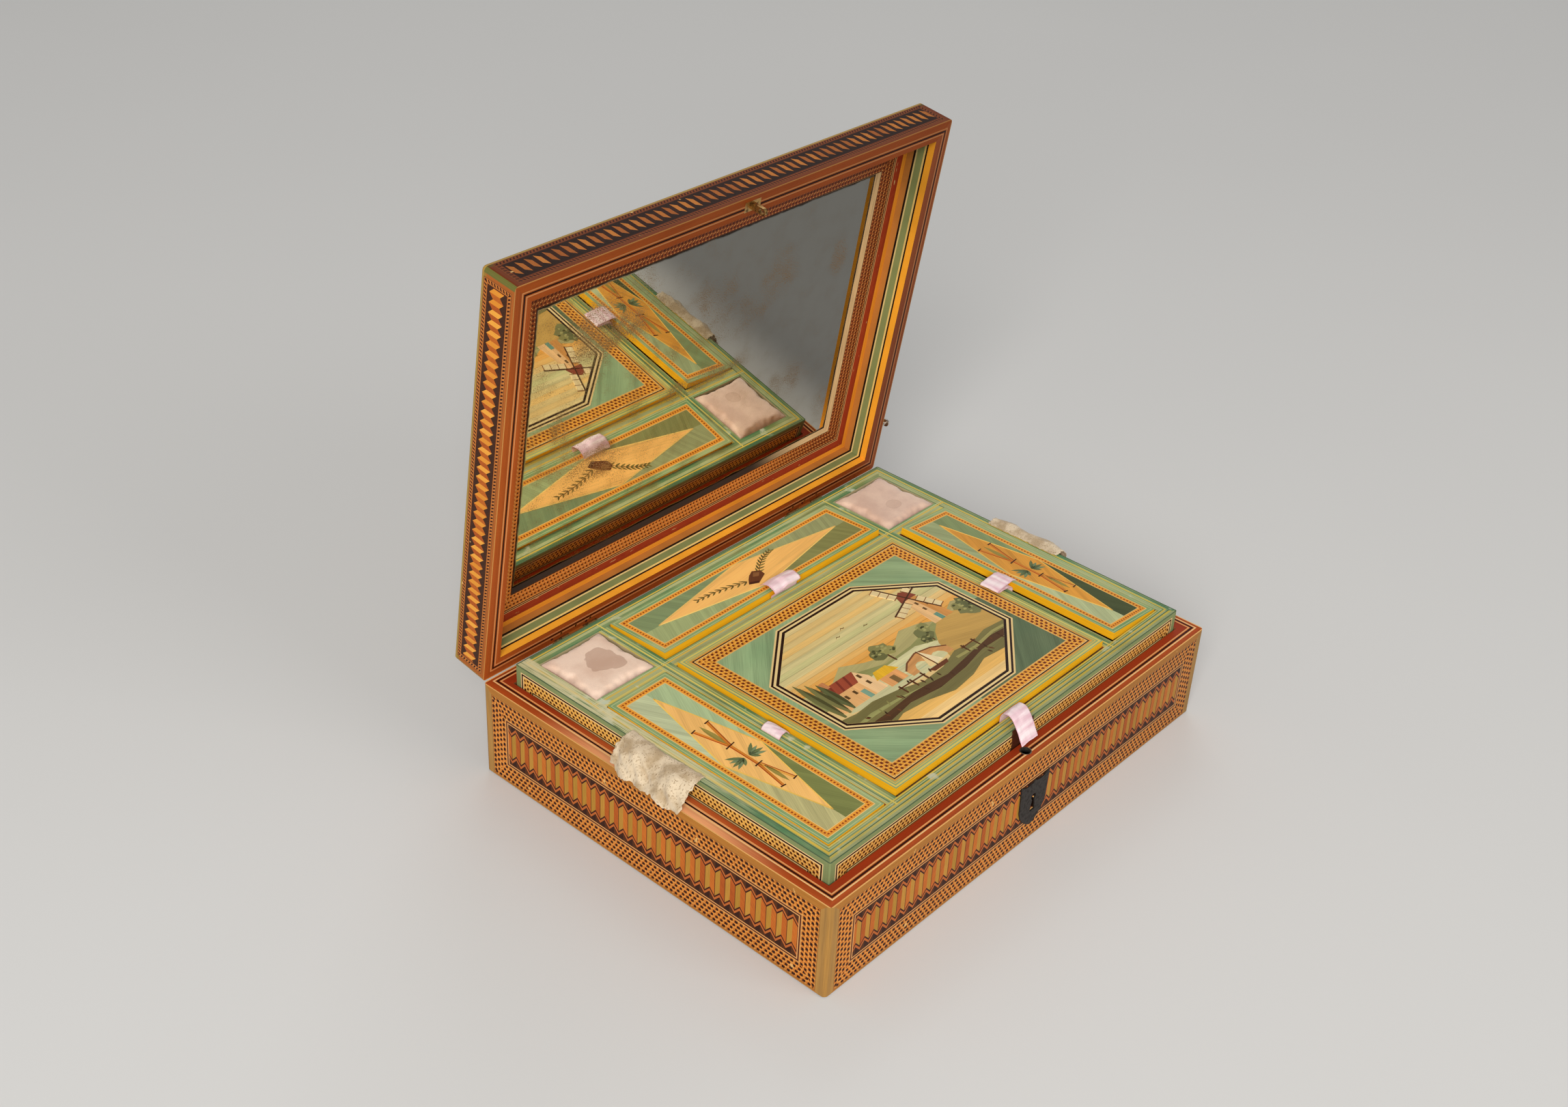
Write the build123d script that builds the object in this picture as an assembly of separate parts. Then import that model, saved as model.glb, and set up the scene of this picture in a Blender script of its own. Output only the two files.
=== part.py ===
from build123d import *
from math import asin, atan2, cos, degrees, sin, sqrt
import os

# Sewing box covered in straw marquetry, with a mirror in its lid and a lift-out tray.
# Millimetres. X runs along the lock side, Y from the lock side to the hinges, Z is up.
# The origin is the middle of the flat base.

# Case
case_width = 330.0
case_depth = 250.0
case_height = 59.0
wall = 11.5
base_thickness = 6.0
corner_radius = 2.5

# Lid
rim_gap = 0.2
lid_height = 23.6
lid_panel_thickness = 2.0
lid_edge_radius = 1.2
lid_open_angle = 81.5
backing_thickness = 0.4
glass_thickness = 1.2
glass_edge_gap = 0.5
mirror_frame_thickness = 2.2
mirror_frame_width = 23.5
mirror_frame_bevel = 2.0

# Butt hinges, with their knuckles half let into the back walls
hinge_offset = 97.0
hinge_axis_stand = 0.4
leaf_length = 32.0
leaf_reach = 9.5
leaf_thickness = 0.9
knuckle_radius = 2.0
knuckle_gap = 0.1
hinge_pin_radius = 0.8
hinge_pin_clearance = 0.05
nail_radius = 0.8
nail_length = 6.0
nail_spacing = 11.0
nail_inset = 4.5
drive_fit = 0.02

# Lock in the front wall, and the staple of the lid that it catches
lock_width = 40.0
lock_height = 42.0
lock_thickness = 9.0
lock_plate = 1.0
lock_fit = 0.1
lock_skin = 1.5
staple_x = -1.5
staple_inset = 6.0
staple_width = 4.0
staple_thickness = 2.0
staple_length = 9.7
staple_eye_width = 2.4
staple_eye_height = 3.8
staple_plate_length = 12.0
staple_plate_width = 6.0
staple_plate_thickness = 0.8
staple_hole_radius = 2.8
ferrule_wall = 0.5
ferrule_stand = 0.15
bolt_bar_height = 2.6
bolt_bar_thickness = 1.8
bolt_bar_length = 9.0
bolt_clearance = 1.5
bolt_block_width = 6.0
bolt_block_height = 10.0
bolt_running_gap = 0.2
keyhole_x = 2.0
keyhole_top = 32.0
keyhole_height = 11.5
keyhole_radius = 2.1
keyhole_waist = 1.6
keyhole_foot = 4.6

# Shield-shaped keyhole plate
escutcheon_thickness = 0.8
escutcheon_width = 25.0
escutcheon_height = 31.5
escutcheon_base = 10.8
escutcheon_crest = 1.0
escutcheon_dip = 2.5
escutcheon_belly = 13.5
escutcheon_draw = 0.7

# Round-headed stud on the right side of the lid
stud_from_hinge = 32.0
stud_from_rim = 2.8
stud_shank_radius = 1.0
stud_depth = 5.0
stud_neck = 6.4
stud_head_radius = 2.5
stud_head_height = 2.6

# Tray
tray_gap = 1.0
tray_stand = 12.5
tray_height = 37.5
tray_wall = 9.0
tray_corner_radius = 1.0
tray_base_thickness = 3.0
divider = 8.0
side_well = 44.0
back_well = 44.5
rest_strip_thickness = 4.0
tray_seat_gap = 0.1

# Compartment lids, each a board hinged on linen.
# Each stands proud of the tray at its hinge, and lifts further at its free edge.
flap_thickness = 4.5
flap_proud = {"back": 1.5, "left": 0.6, "right": 1.0, "centre": 2.6}
flap_lift = {"back": 2.0, "left": 0.4, "right": 3.8, "centre": 1.7}
flap_gap = 0.5
ribbon_room = 1.2
ledge_width = 2.5
ledge_height = 3.0
ledge_gap = 0.3
linen_thickness = 0.3
linen_height = 5.0
linen_margin = 12.0
linen_seat = 0.05

# Pincushions on boards
pad_board_thickness = 2.0
pad_board_depth = 8.0
pad_board_gap = 0.3
pad_gap = 0.6
pad_draw = 1.1
pad_crown = 11.0

# Silk pulls: each rises from a folded tail beside its lid and loops over the edge.
# A path point is its distance past the slot beside the lid, then its height over the tray.
ribbon_thickness = 0.5
ribbon_bend = 0.8
ribbon_tail_width = 2.2
ribbon_tail_seat = 0.1
ribbon_tail_gap = 0.2
ribbon_width = {"back": 22.0, "left": 13.0, "right": 13.0, "centre": 14.5}
ribbon_shift = {"back": 5.0, "left": 0.6, "right": 0.7, "centre": 2.0}
ribbon_path = {
    "back": [(0, 1.6), (2.4, 2.6), (1.6, 5.6), (-4.5, 6.6), (-9.6, 3.9)],
    "left": [(0, 1.5), (2.6, 3.5), (5.9, 3.0), (7.9, 0.6)],
    "right": [(0, 1.6), (7.5, 4.3), (14.2, 4.4), (14.2, 6.1), (7.0, 6.8), (-0.8, 6.5), (-3.2, 5.1)],
    "centre": [(0, 4.6), (2.2, 6.4), (6.5, 5.6), (12.0, 0.0), (15.6, -8.0)],
}

# Torn silk lifting tabs, glued on the ends of the tray and hanging over the case.
# Each fold is a place along the tray, then the sweep's middle and end, both as the
# distance outside the tray and the drop below the tray's top.
tab_thickness = 0.9
tab_seat = 5.0
tab_seat_gap = 0.15
tab_folds = {
    "left": [
        (27.0, (7.5, 5.4), (11.0, 11.0)),
        (12.0, (9.3, 4.2), (14.8, 14.0)),
        (0.0, (8.3, 6.0), (15.3, 14.7)),
        (-12.0, (9.6, 4.0), (14.8, 14.5)),
        (-25.0, (7.0, 6.2), (12.0, 11.2)),
    ],
    "right": [
        (21.0, (7.5, 4.4), (11.2, 10.8)),
        (8.0, (9.6, 3.2), (15.0, 14.0)),
        (-5.0, (8.6, 4.8), (15.1, 14.3)),
        (-18.0, (9.8, 3.0), (14.8, 14.0)),
        (-30.0, (7.3, 4.8), (11.4, 10.6)),
    ],
}

# Places that follow from the sizes above
front = -case_depth / 2
back = case_depth / 2
right = case_width / 2
inner_width = case_width - 2 * wall
inner_depth = case_depth - 2 * wall
inner_x = inner_width / 2
inner_y = inner_depth / 2
lid_rim = case_height + rim_gap
lid_top = lid_rim + lid_height
lid_wall_top = lid_top - lid_panel_thickness
glass_top = lid_wall_top - backing_thickness
glass_bottom = glass_top - glass_thickness
hinge_y = back + hinge_axis_stand
hinge_z = case_height + rim_gap / 2
lid_hinge = Axis((0, hinge_y, hinge_z), (-1, 0, 0))
tray_width = inner_width - 2 * tray_gap
tray_depth = inner_depth - 2 * tray_gap
tray_top = case_height + tray_stand
tray_floor = tray_top - tray_height
well_bottom = tray_floor + tray_base_thickness
well_right = tray_width / 2 - tray_wall
well_back = tray_depth / 2 - tray_wall
well_front = -well_back
centre_half = well_right - side_well - divider
side_middle = well_right - side_well / 2
cross_back = well_back - back_well
cross_front = cross_back - divider
front_well = cross_front - well_front
lock_top = case_height - lock_skin
lock_bottom = lock_top - lock_height
lock_back = front + wall
lock_front = lock_back - lock_thickness
staple_y = front + staple_inset
staple_tip = lid_rim - staple_length
eye_z = staple_tip + (staple_width - staple_eye_width) / 2 + staple_eye_height / 2

# The compartments with lids: hinge middle, turn, depth away from the hinge, and width
flaps = {
    "back": ((0, well_back), -90, back_well, 2 * centre_half),
    "left": ((-well_right, (cross_front + well_front) / 2), 0, side_well, front_well),
    "right": ((well_right, (cross_front + well_front) / 2), 180, side_well, front_well),
    "centre": ((0, cross_front), -90, front_well, 2 * centre_half),
}

parts = {}


def block(x, y, z):
    """A box between two values on each axis."""
    size = (abs(x[1] - x[0]), abs(y[1] - y[0]), abs(z[1] - z[0]))
    return Pos((x[0] + x[1]) / 2, (y[0] + y[1]) / 2, (z[0] + z[1]) / 2) * Box(*size)


def rod(x, y, z, radius):
    """A round bar along X."""
    return Pos((x[0] + x[1]) / 2, y, z) * (Rot(0, 90, 0) * Cylinder(radius, x[1] - x[0]))


def post(x, y, z, radius):
    """An upright round bar."""
    return Pos(x, y, (z[0] + z[1]) / 2) * Cylinder(radius, z[1] - z[0])


def plate(face, thickness):
    """A plate drawn in X and Z, from y = 0 towards the front."""
    return Rot(90, 0, 0) * extrude(face, thickness)


def mitred_ring(width, depth, thickness, low, high):
    """Four boards mitred at the corners."""
    x, y = width / 2, depth / 2
    a, b = x - thickness, y - thickness
    plans = {
        "front": [(-x, -y), (x, -y), (a, -b), (-a, -b)],
        "back": [(x, y), (-x, y), (-a, b), (a, b)],
        "left": [(-x, y), (-x, -y), (-a, -b), (-a, b)],
        "right": [(x, -y), (x, y), (a, b), (a, -b)],
    }
    boards = {}
    for side, plan in plans.items():
        face = make_face(Polyline(*plan, close=True))
        boards[side] = Pos(0, 0, low) * extrude(face, high - low)
    return boards


def round_corners(boards, width, depth, low, high, radius):
    """The same boards with their outer upright corners rounded."""
    outside = Pos(0, 0, low) * extrude(RectangleRounded(width, depth, radius), high - low)
    return {side: board & outside for side, board in boards.items()}


def keyhole_face():
    """A keyhole with a round head and a foot that widens downwards."""
    head_z = keyhole_top - keyhole_radius
    foot_z = keyhole_top - keyhole_height
    shaft = make_face(
        Polyline(
            (-keyhole_waist / 2, head_z),
            (keyhole_waist / 2, head_z),
            (keyhole_foot / 2, foot_z),
            (-keyhole_foot / 2, foot_z),
            close=True,
        )
    )
    return shaft + Pos(0, head_z) * Circle(keyhole_radius)


def hinge_leaf(x, z, outer_knuckles):
    """A hinge leaf with either its two outer knuckles or its middle one."""
    half = leaf_length / 2
    third = leaf_length / 6
    outer = [(-half, -third - knuckle_gap), (third + knuckle_gap, half)]
    leaf = block((x - half, x + half), (back - leaf_reach, hinge_y), (z, z + leaf_thickness))
    room = [(-third - knuckle_gap, third + knuckle_gap)]
    kept = outer
    if not outer_knuckles:
        room = [(-half, -third), (third, half)]
        kept = [(-third, third)]
    for a, b in room:
        leaf -= rod((x + a, x + b), hinge_y, hinge_z, knuckle_radius + knuckle_gap)
    for a, b in kept:
        leaf += rod((x + a, x + b), hinge_y, hinge_z, knuckle_radius)
    leaf -= rod((x - half, x + half), hinge_y, hinge_z, hinge_pin_radius + hinge_pin_clearance)
    for nail in nail_places(x):
        leaf -= post(*nail, (z, z + leaf_thickness), nail_radius + drive_fit)
    return leaf


def nail_places(x):
    """The three nails of a hinge leaf."""
    return [(x + step * nail_spacing, back - nail_inset) for step in (-1, 0, 1)]


def let_in_hinges(board, z, nail_z):
    """Cut the recesses of both hinge leaves and their knuckles, and the nail holes."""
    for x in (-hinge_offset, hinge_offset):
        half = leaf_length / 2
        board -= block((x - half, x + half), (back - leaf_reach, back), (z, z + leaf_thickness))
        board -= rod((x - half, x + half), hinge_y, hinge_z, knuckle_radius + knuckle_gap)
        for nail in nail_places(x):
            board -= post(*nail, nail_z, nail_radius + drive_fit)
    return board


def to_hinge(shape, name):
    """Move a shape drawn outwards from a hinge line to its compartment."""
    (x, y), turn, _, _ = flaps[name]
    return Pos(x, y, tray_top) * (Rot(0, 0, turn) * shape)


def build_case():
    """Base board, four mitred walls and the strips that carry the tray."""
    parts["case_base"] = block((-inner_x, inner_x), (-inner_y, inner_y), (0, base_thickness))
    walls = mitred_ring(case_width, case_depth, wall, 0, case_height)
    walls = round_corners(walls, case_width, case_depth, 0, case_height, corner_radius)
    leaf_z = case_height - leaf_thickness
    walls["back"] = let_in_hinges(walls["back"], leaf_z, (case_height - nail_length, case_height))
    lock_half = lock_width / 2
    pocket_x = (keyhole_x - lock_half, keyhole_x + lock_half)
    walls["front"] -= block(pocket_x, (lock_front, lock_back), (lock_bottom, lock_top))
    opening = staple_hole_radius + ferrule_wall + drive_fit
    walls["front"] -= post(staple_x, staple_y, (lock_top, case_height), opening)
    walls["front"] -= Pos(keyhole_x, lock_front, 0) * plate(keyhole_face(), lock_front - front)
    for side, board in walls.items():
        parts[f"case_{side}_wall"] = board
    strips = mitred_ring(
        inner_width, inner_depth, rest_strip_thickness, base_thickness, tray_floor - tray_seat_gap
    )
    parts["tray_rest_strips"] = Compound(list(strips.values()))


def build_lock():
    """Lock case and cover, sliding bolt, rim ferrule and the plate round the keyhole."""
    half = lock_width / 2 - lock_fit
    x = (keyhole_x - half, keyhole_x + half)
    z = (lock_bottom + lock_fit, lock_top - lock_fit)
    y = (lock_front + lock_fit, lock_back - lock_plate)
    body = block(x, y, z)
    inside_z = (z[0] + lock_plate, z[1] - lock_plate)
    inside_y = (y[0] + lock_plate, y[1])
    body -= block((x[0] + lock_plate, x[1] - lock_plate), inside_y, inside_z)
    body -= post(staple_x, staple_y, (inside_z[1], z[1]), staple_hole_radius)
    body -= Pos(keyhole_x, inside_y[0], 0) * plate(keyhole_face(), lock_plate)
    parts["lock_body"] = body
    parts["lock_cover"] = block(x, (y[1], lock_back), z)

    tip = staple_x + staple_thickness / 2 + bolt_clearance
    bar_end = tip + bolt_bar_length
    half_bar = bolt_bar_thickness / 2
    half_rise = bolt_bar_height / 2
    block_y = (inside_y[0] + bolt_running_gap, y[1] - bolt_running_gap)
    block_top = inside_z[1] - bolt_running_gap
    bar_y = (staple_y - half_bar, staple_y + half_bar)
    bar = block((tip, bar_end), bar_y, (eye_z - half_rise, eye_z + half_rise))
    tail_z = (block_top - bolt_block_height, block_top)
    parts["lock_bolt"] = bar + block((bar_end, bar_end + bolt_block_width), block_y, tail_z)

    ring_z = (lock_top, case_height + ferrule_stand)
    ring = post(staple_x, staple_y, ring_z, staple_hole_radius + ferrule_wall)
    parts["lock_hole_rim"] = ring - post(staple_x, staple_y, ring_z, staple_hole_radius)

    half = escutcheon_width / 2
    horn_z = escutcheon_base + escutcheon_height
    crest_z = horn_z - escutcheon_crest
    dip_z = horn_z - escutcheon_dip
    belly_z = escutcheon_base + escutcheon_belly
    belly_x = half - escutcheon_draw
    low = (belly_x * 0.62, escutcheon_base + escutcheon_belly * 0.36)
    outline = [
        ThreePointArc((-half, horn_z), (-half / 2, dip_z), (0, crest_z)),
        ThreePointArc((0, crest_z), (half / 2, dip_z), (half, horn_z)),
        Line((half, horn_z), (belly_x, belly_z)),
        ThreePointArc((belly_x, belly_z), low, (0, escutcheon_base)),
        ThreePointArc((0, escutcheon_base), (-low[0], low[1]), (-belly_x, belly_z)),
        Line((-belly_x, belly_z), (-half, horn_z)),
    ]
    shield = make_face(outline) - keyhole_face()
    parts["escutcheon"] = Pos(keyhole_x, front, 0) * plate(shield, escutcheon_thickness)


def build_lid():
    """The lid is drawn closed, then turned open about its hinges."""
    lid = {}
    panel = extrude(RectangleRounded(case_width, case_depth, corner_radius), lid_panel_thickness)
    panel = fillet(panel.faces().sort_by(Axis.Z)[-1].edges(), lid_edge_radius)
    lid["lid_panel"] = Pos(0, 0, lid_wall_top) * panel

    walls = mitred_ring(case_width, case_depth, wall, lid_rim, lid_wall_top)
    walls = round_corners(walls, case_width, case_depth, lid_rim, lid_wall_top, corner_radius)
    walls["back"] = let_in_hinges(walls["back"], lid_rim, (lid_rim, lid_rim + nail_length))
    half = staple_plate_length / 2
    plate_x = (staple_x - half, staple_x + half)
    plate_y = (staple_y - staple_plate_width / 2, staple_y + staple_plate_width / 2)
    staple_plate = block(plate_x, plate_y, (lid_rim, lid_rim + staple_plate_thickness))
    walls["front"] -= staple_plate
    stud_y = back - stud_from_hinge
    stud_z = lid_rim + stud_from_rim
    walls["right"] -= rod((right - stud_depth, right), stud_y, stud_z, stud_shank_radius + drive_fit)
    for side, board in walls.items():
        lid[f"lid_{side}_wall"] = board

    frame_z = (glass_bottom - mirror_frame_thickness, glass_bottom)
    strips = mitred_ring(inner_width, inner_depth, mirror_frame_width, *frame_z)
    sight = Rectangle(
        inner_width - 2 * mirror_frame_width + 2 * mirror_frame_bevel,
        inner_depth - 2 * mirror_frame_width + 2 * mirror_frame_bevel,
    )
    bevel = Pos(0, 0, frame_z[0]) * extrude(sight, mirror_frame_bevel, taper=45)
    for side, strip in strips.items():
        lid[f"mirror_frame_{side}"] = strip - bevel
    glass_x = (glass_edge_gap - inner_x, inner_x - glass_edge_gap)
    glass_y = (glass_edge_gap - inner_y, inner_y - glass_edge_gap)
    lid["mirror_glass"] = block(glass_x, glass_y, (glass_bottom, glass_top))
    lid["mirror_backing"] = block(glass_x, glass_y, (glass_top, lid_wall_top))

    peg_round = staple_width / 2
    peg = Pos(0, (lid_rim + staple_tip + peg_round) / 2) * Rectangle(
        staple_width, lid_rim - staple_tip - peg_round
    )
    peg += Pos(0, staple_tip + peg_round) * Circle(peg_round)
    peg -= Pos(0, eye_z) * (Rot(0, 0, 90) * SlotOverall(staple_eye_height, staple_eye_width))
    peg = Rot(0, 0, 90) * plate(peg, staple_thickness)
    lid["lid_staple"] = staple_plate + Pos(staple_x - staple_thickness / 2, staple_y, 0) * peg

    start, neck_end = right - stud_depth, right + stud_neck
    ball = (stud_head_radius**2 + stud_head_height**2) / (2 * stud_head_height)
    ball_x = neck_end + stud_head_height - ball
    half_angle = atan2(stud_head_radius, neck_end - ball_x) / 2
    dome = (ball_x + ball * cos(half_angle), ball * sin(half_angle))
    profile = [
        Line((start, 0), (start, stud_shank_radius)),
        Line((start, stud_shank_radius), (neck_end, stud_shank_radius)),
        Line((neck_end, stud_shank_radius), (neck_end, stud_head_radius)),
        ThreePointArc((neck_end, stud_head_radius), dome, (neck_end + stud_head_height, 0)),
        Line((neck_end + stud_head_height, 0), (start, 0)),
    ]
    lid["lid_side_stud"] = Pos(0, stud_y, stud_z) * revolve(make_face(profile), Axis.X)

    for side, x in (("left", -hinge_offset), ("right", hinge_offset)):
        lid[f"hinge_{side}_lid_leaf"] = hinge_leaf(x, lid_rim, False)
        parts[f"hinge_{side}_case_leaf"] = hinge_leaf(x, case_height - leaf_thickness, True)
    places = nail_places(-hinge_offset) + nail_places(hinge_offset)
    lid_nails = [post(x, y, (lid_rim, lid_rim + nail_length), nail_radius) for x, y in places]
    lid["hinge_nails_lid"] = Compound(lid_nails)
    case_nails = [post(x, y, (case_height - nail_length, case_height), nail_radius) for x, y in places]
    parts["hinge_nails_case"] = Compound(case_nails)
    half_pin = leaf_length / 2 - knuckle_gap
    pins = [rod((x - half_pin, x + half_pin), hinge_y, hinge_z, hinge_pin_radius)
            for x in (-hinge_offset, hinge_offset)]
    parts["hinge_pins"] = Compound(pins)

    for name, shape in lid.items():
        parts[name] = shape.rotate(lid_hinge, lid_open_angle)


def ledge_level(name):
    """The top of the ledges that stop a compartment's lid, measured from the tray's top."""
    return flap_proud[name] - flap_thickness - ledge_gap


def build_tray():
    """A tray of six compartments, standing proud of the case."""
    walls = mitred_ring(tray_width, tray_depth, tray_wall, tray_floor, tray_top)
    walls = round_corners(walls, tray_width, tray_depth, tray_floor, tray_top, tray_corner_radius)
    for side, board in walls.items():
        parts[f"tray_{side}_wall"] = board
    across = (-well_right, well_right)
    along = (well_front, well_back)
    parts["tray_base"] = block(across, along, (tray_floor, well_bottom))
    z = (well_bottom, tray_top)
    for side, sign in (("left", -1), ("right", 1)):
        x = (sign * centre_half, sign * (centre_half + divider))
        parts[f"tray_divider_{side}"] = block(x, along, z)
    cross = (cross_front, cross_back)
    parts["tray_divider_middle"] = block((-centre_half, centre_half), cross, z)
    outer = [(s * (centre_half + divider), s * well_right) for s in (-1, 1)]
    parts["tray_divider_ends"] = Compound([block(x, cross, z) for x in outer])

    strips = []
    for name, (_, _, length, width) in flaps.items():
        strips += [to_hinge(strip, name) for strip in ledges(length, width, ledge_level(name), False)]
    pad_top = -pad_board_depth - pad_board_thickness
    for sign in (-1, 1):
        for strip in ledges(back_well, side_well, pad_top, True):
            strips.append(Pos(sign * side_middle, well_back, tray_top) * (Rot(0, 0, -90) * strip))
    parts["tray_ledges"] = Compound(strips)


def ledges(length, width, top, at_hinge):
    """Strips round a compartment, drawn outwards from its hinge line."""
    z = (top - ledge_height, top)
    half = width / 2
    start = ledge_width if at_hinge else 0
    strips = [block((length - ledge_width, length), (-half, half), z)]
    if at_hinge:
        strips.append(block((0, ledge_width), (-half, half), z))
    for sign in (-1, 1):
        strips.append(block((start, length - ledge_width), (sign * (half - ledge_width), sign * half), z))
    return strips


def build_flaps():
    """The four compartment lids ajar on their folded ribbon tails, and their linen hinges."""
    for name, (_, _, length, width) in flaps.items():
        reach = length - ribbon_room
        tilt = degrees(asin(flap_lift[name] / reach))
        half = width / 2 - flap_gap
        underside = flap_proud[name] - flap_thickness
        board = block((flap_gap, reach), (-half, half), (underside, flap_proud[name]))
        parts[f"{name}_lid"] = to_hinge(Rot(0, -tilt, 0) * board, name)

        linen_half = half - linen_margin
        linen_x = (linen_seat, linen_seat + linen_thickness)
        linen = block(linen_x, (-linen_half, linen_half), (-linen_height, -linen_seat))
        parts[f"{name}_hinge_linen"] = to_hinge(linen, name)

        slot = length - ribbon_room / 2
        tail_bottom = ledge_level(name) + ribbon_tail_seat
        tail_top = underside + flap_lift[name] - ribbon_tail_gap
        path = [(slot, tail_bottom)] + [(slot + u, z) for u, z in ribbon_path[name]]
        band = trace(FilletPolyline(*path, radius=ribbon_bend), ribbon_thickness)
        tail = make_face(
            Polyline(
                (slot - ribbon_tail_width, tail_bottom),
                (slot, tail_bottom),
                (slot, tail_top),
                (slot - ribbon_tail_width, tail_top),
                close=True,
            )
        )
        ribbon = plate(band + tail, ribbon_width[name])
        ribbon = Pos(0, ribbon_shift[name] + ribbon_width[name] / 2, 0) * ribbon
        parts[f"{name}_ribbon"] = to_hinge(ribbon, name)


def cushion_outline(width, depth, inset, draw):
    """A rectangle whose sides are drawn in between its corners."""
    x, y = width / 2 - inset, depth / 2 - inset
    return make_face([
        ThreePointArc((-x, -y), (0, draw - y), (x, -y)),
        ThreePointArc((x, -y), (x - draw, 0), (x, y)),
        ThreePointArc((x, y), (0, y - draw), (-x, y)),
        ThreePointArc((-x, y), (draw - x, 0), (-x, -y)),
    ])


def build_pincushions():
    """Two crowned cushions on boards that sit on ledges."""
    board_z = (tray_top - pad_board_depth - pad_board_thickness, tray_top - pad_board_depth)
    middle_y = well_back - back_well / 2
    width = side_well - 2 * pad_gap
    depth = back_well - 2 * pad_gap
    board_half_x = side_well / 2 - pad_board_gap
    board_half_y = back_well / 2 - pad_board_gap
    levels = [(0.0, 0.9), (0.3, 0.0), (0.62, 0.3), (0.86, 3.6), (0.97, 9.0), (1.0, 15.0)]
    for side, sign in (("left", -1), ("right", 1)):
        x = sign * side_middle
        board_x = (x - board_half_x, x + board_half_x)
        board_y = (middle_y - board_half_y, middle_y + board_half_y)
        parts[f"pincushion_board_{side}"] = block(board_x, board_y, board_z)
        sections = []
        for share, inset in levels:
            outline = cushion_outline(width, depth, inset, pad_draw)
            sections.append(Pos(x, middle_y, board_z[1] + share * pad_crown) * outline)
        parts[f"pincushion_{side}"] = loft(sections)


def tab_section(sign, y, middle, end):
    """A thin band glued on the tray's end that sweeps over and down, at one place along it."""
    edge = tray_width / 2
    low = tray_top + tab_seat_gap
    t = tab_thickness
    seat = (sign * (edge - tab_seat), low)
    bend = (sign * edge, low)
    mid = (sign * (edge + middle[0]), tray_top - middle[1])
    tip = (sign * (edge + end[0]), tray_top - end[1])
    top_bend = (sign * edge, low + t)
    top_mid = (mid[0] + sign * t * sqrt(0.5), mid[1] + t * sqrt(0.5))
    top_tip = (tip[0] + sign * t, tip[1])
    face = make_face([
        Line(seat, bend),
        ThreePointArc(bend, mid, tip),
        Line(tip, top_tip),
        ThreePointArc(top_tip, top_mid, top_bend),
        Line(top_bend, (seat[0], low + t)),
        Line((seat[0], low + t), seat),
    ])
    return Pos(0, y, 0) * (Rot(90, 0, 0) * face)


def build_tabs():
    """The torn silk tabs at the two ends of the tray."""
    for side, sign in (("left", -1), ("right", 1)):
        sections = [tab_section(sign, y, middle, end) for y, middle, end in tab_folds[side]]
        parts[f"tray_tab_{side}"] = loft(sections)


build_case()
build_lock()
build_lid()
build_tray()
build_flaps()
build_pincushions()
build_tabs()

os.makedirs("parts", exist_ok=True)
for name, shape in parts.items():
    export_step(shape, f"parts/{name}.step")
print(len(parts), "nodes written")
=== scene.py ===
import bpy
import math
import random
from mathutils import Matrix, Vector


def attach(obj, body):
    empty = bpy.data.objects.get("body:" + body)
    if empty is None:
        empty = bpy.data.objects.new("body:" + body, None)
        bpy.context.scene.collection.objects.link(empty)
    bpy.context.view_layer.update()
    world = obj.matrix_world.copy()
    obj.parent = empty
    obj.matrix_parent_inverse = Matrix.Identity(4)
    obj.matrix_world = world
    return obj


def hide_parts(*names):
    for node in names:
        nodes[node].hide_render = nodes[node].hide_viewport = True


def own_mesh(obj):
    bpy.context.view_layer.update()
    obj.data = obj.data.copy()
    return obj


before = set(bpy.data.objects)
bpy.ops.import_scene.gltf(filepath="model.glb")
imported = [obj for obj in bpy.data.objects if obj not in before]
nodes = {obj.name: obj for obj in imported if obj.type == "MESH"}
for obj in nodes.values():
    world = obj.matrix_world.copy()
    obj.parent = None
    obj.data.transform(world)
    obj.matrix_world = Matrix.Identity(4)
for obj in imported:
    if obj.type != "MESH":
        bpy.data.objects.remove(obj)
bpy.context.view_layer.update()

# Sizes in millimetres, as in the part
CASE_X, CASE_Y, CASE_Z = 165.0, 125.0, 59.0
TRAY_X, TRAY_Y, TRAY_Z = 152.5, 112.5, 71.5
WELL_X, WELL_Y = 143.5, 103.5
LID_MIDDLE, LID_H = 125.4, 23.6
HINGE_Y, HINGE_Z, HALF_GAP = 125.4, 59.1, 0.1
LEAN = math.radians(81.5)
LEAN_UP, LEAN_BACK = math.sin(LEAN), math.cos(LEAN)
FLAPS = {
    "back": {"proud": 1.5, "lift": 2.0, "reach": 44.5, "hinge": (0.0, 103.5), "turn": -90},
    "left": {"proud": 0.6, "lift": 0.4, "reach": 44.0, "hinge": (-143.5, -26.25), "turn": 0},
    "right": {"proud": 1.0, "lift": 3.8, "reach": 44.0, "hinge": (143.5, -26.25), "turn": 180},
    "centre": {"proud": 2.6, "lift": 1.7, "reach": 154.5, "hinge": (0.0, 51.0), "turn": -90},
}

# Width of the gap beside a small lid's free edge
SLOT = 1.2
# A face further in than this from the outside is an inner one
SKIN = 3.0
# A normal's share along an axis from which a face counts as facing that way
FACING = 0.6
# Patterns are counted from here, so that their numbers stay above zero
FROM_LEFT = 300.0
# Colours that come back in several materials
INK, DARK_BROWN, MAROON = "2A120B", "4A220F", "32140A"


def rgb(text):
    """A colour written as hex digits, in the renderer's linear values."""
    out = []
    for i in (0, 2, 4):
        c = int(text[i:i + 2], 16) / 255
        out.append(c / 12.92 if c <= 0.04045 else ((c + 0.055) / 1.055) ** 2.4)
    return (*out, 1.0)


def assign(thing, **values):
    """Set properties by name, and give the thing back."""
    for key, value in values.items():
        setattr(thing, key, value)
    return thing


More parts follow.
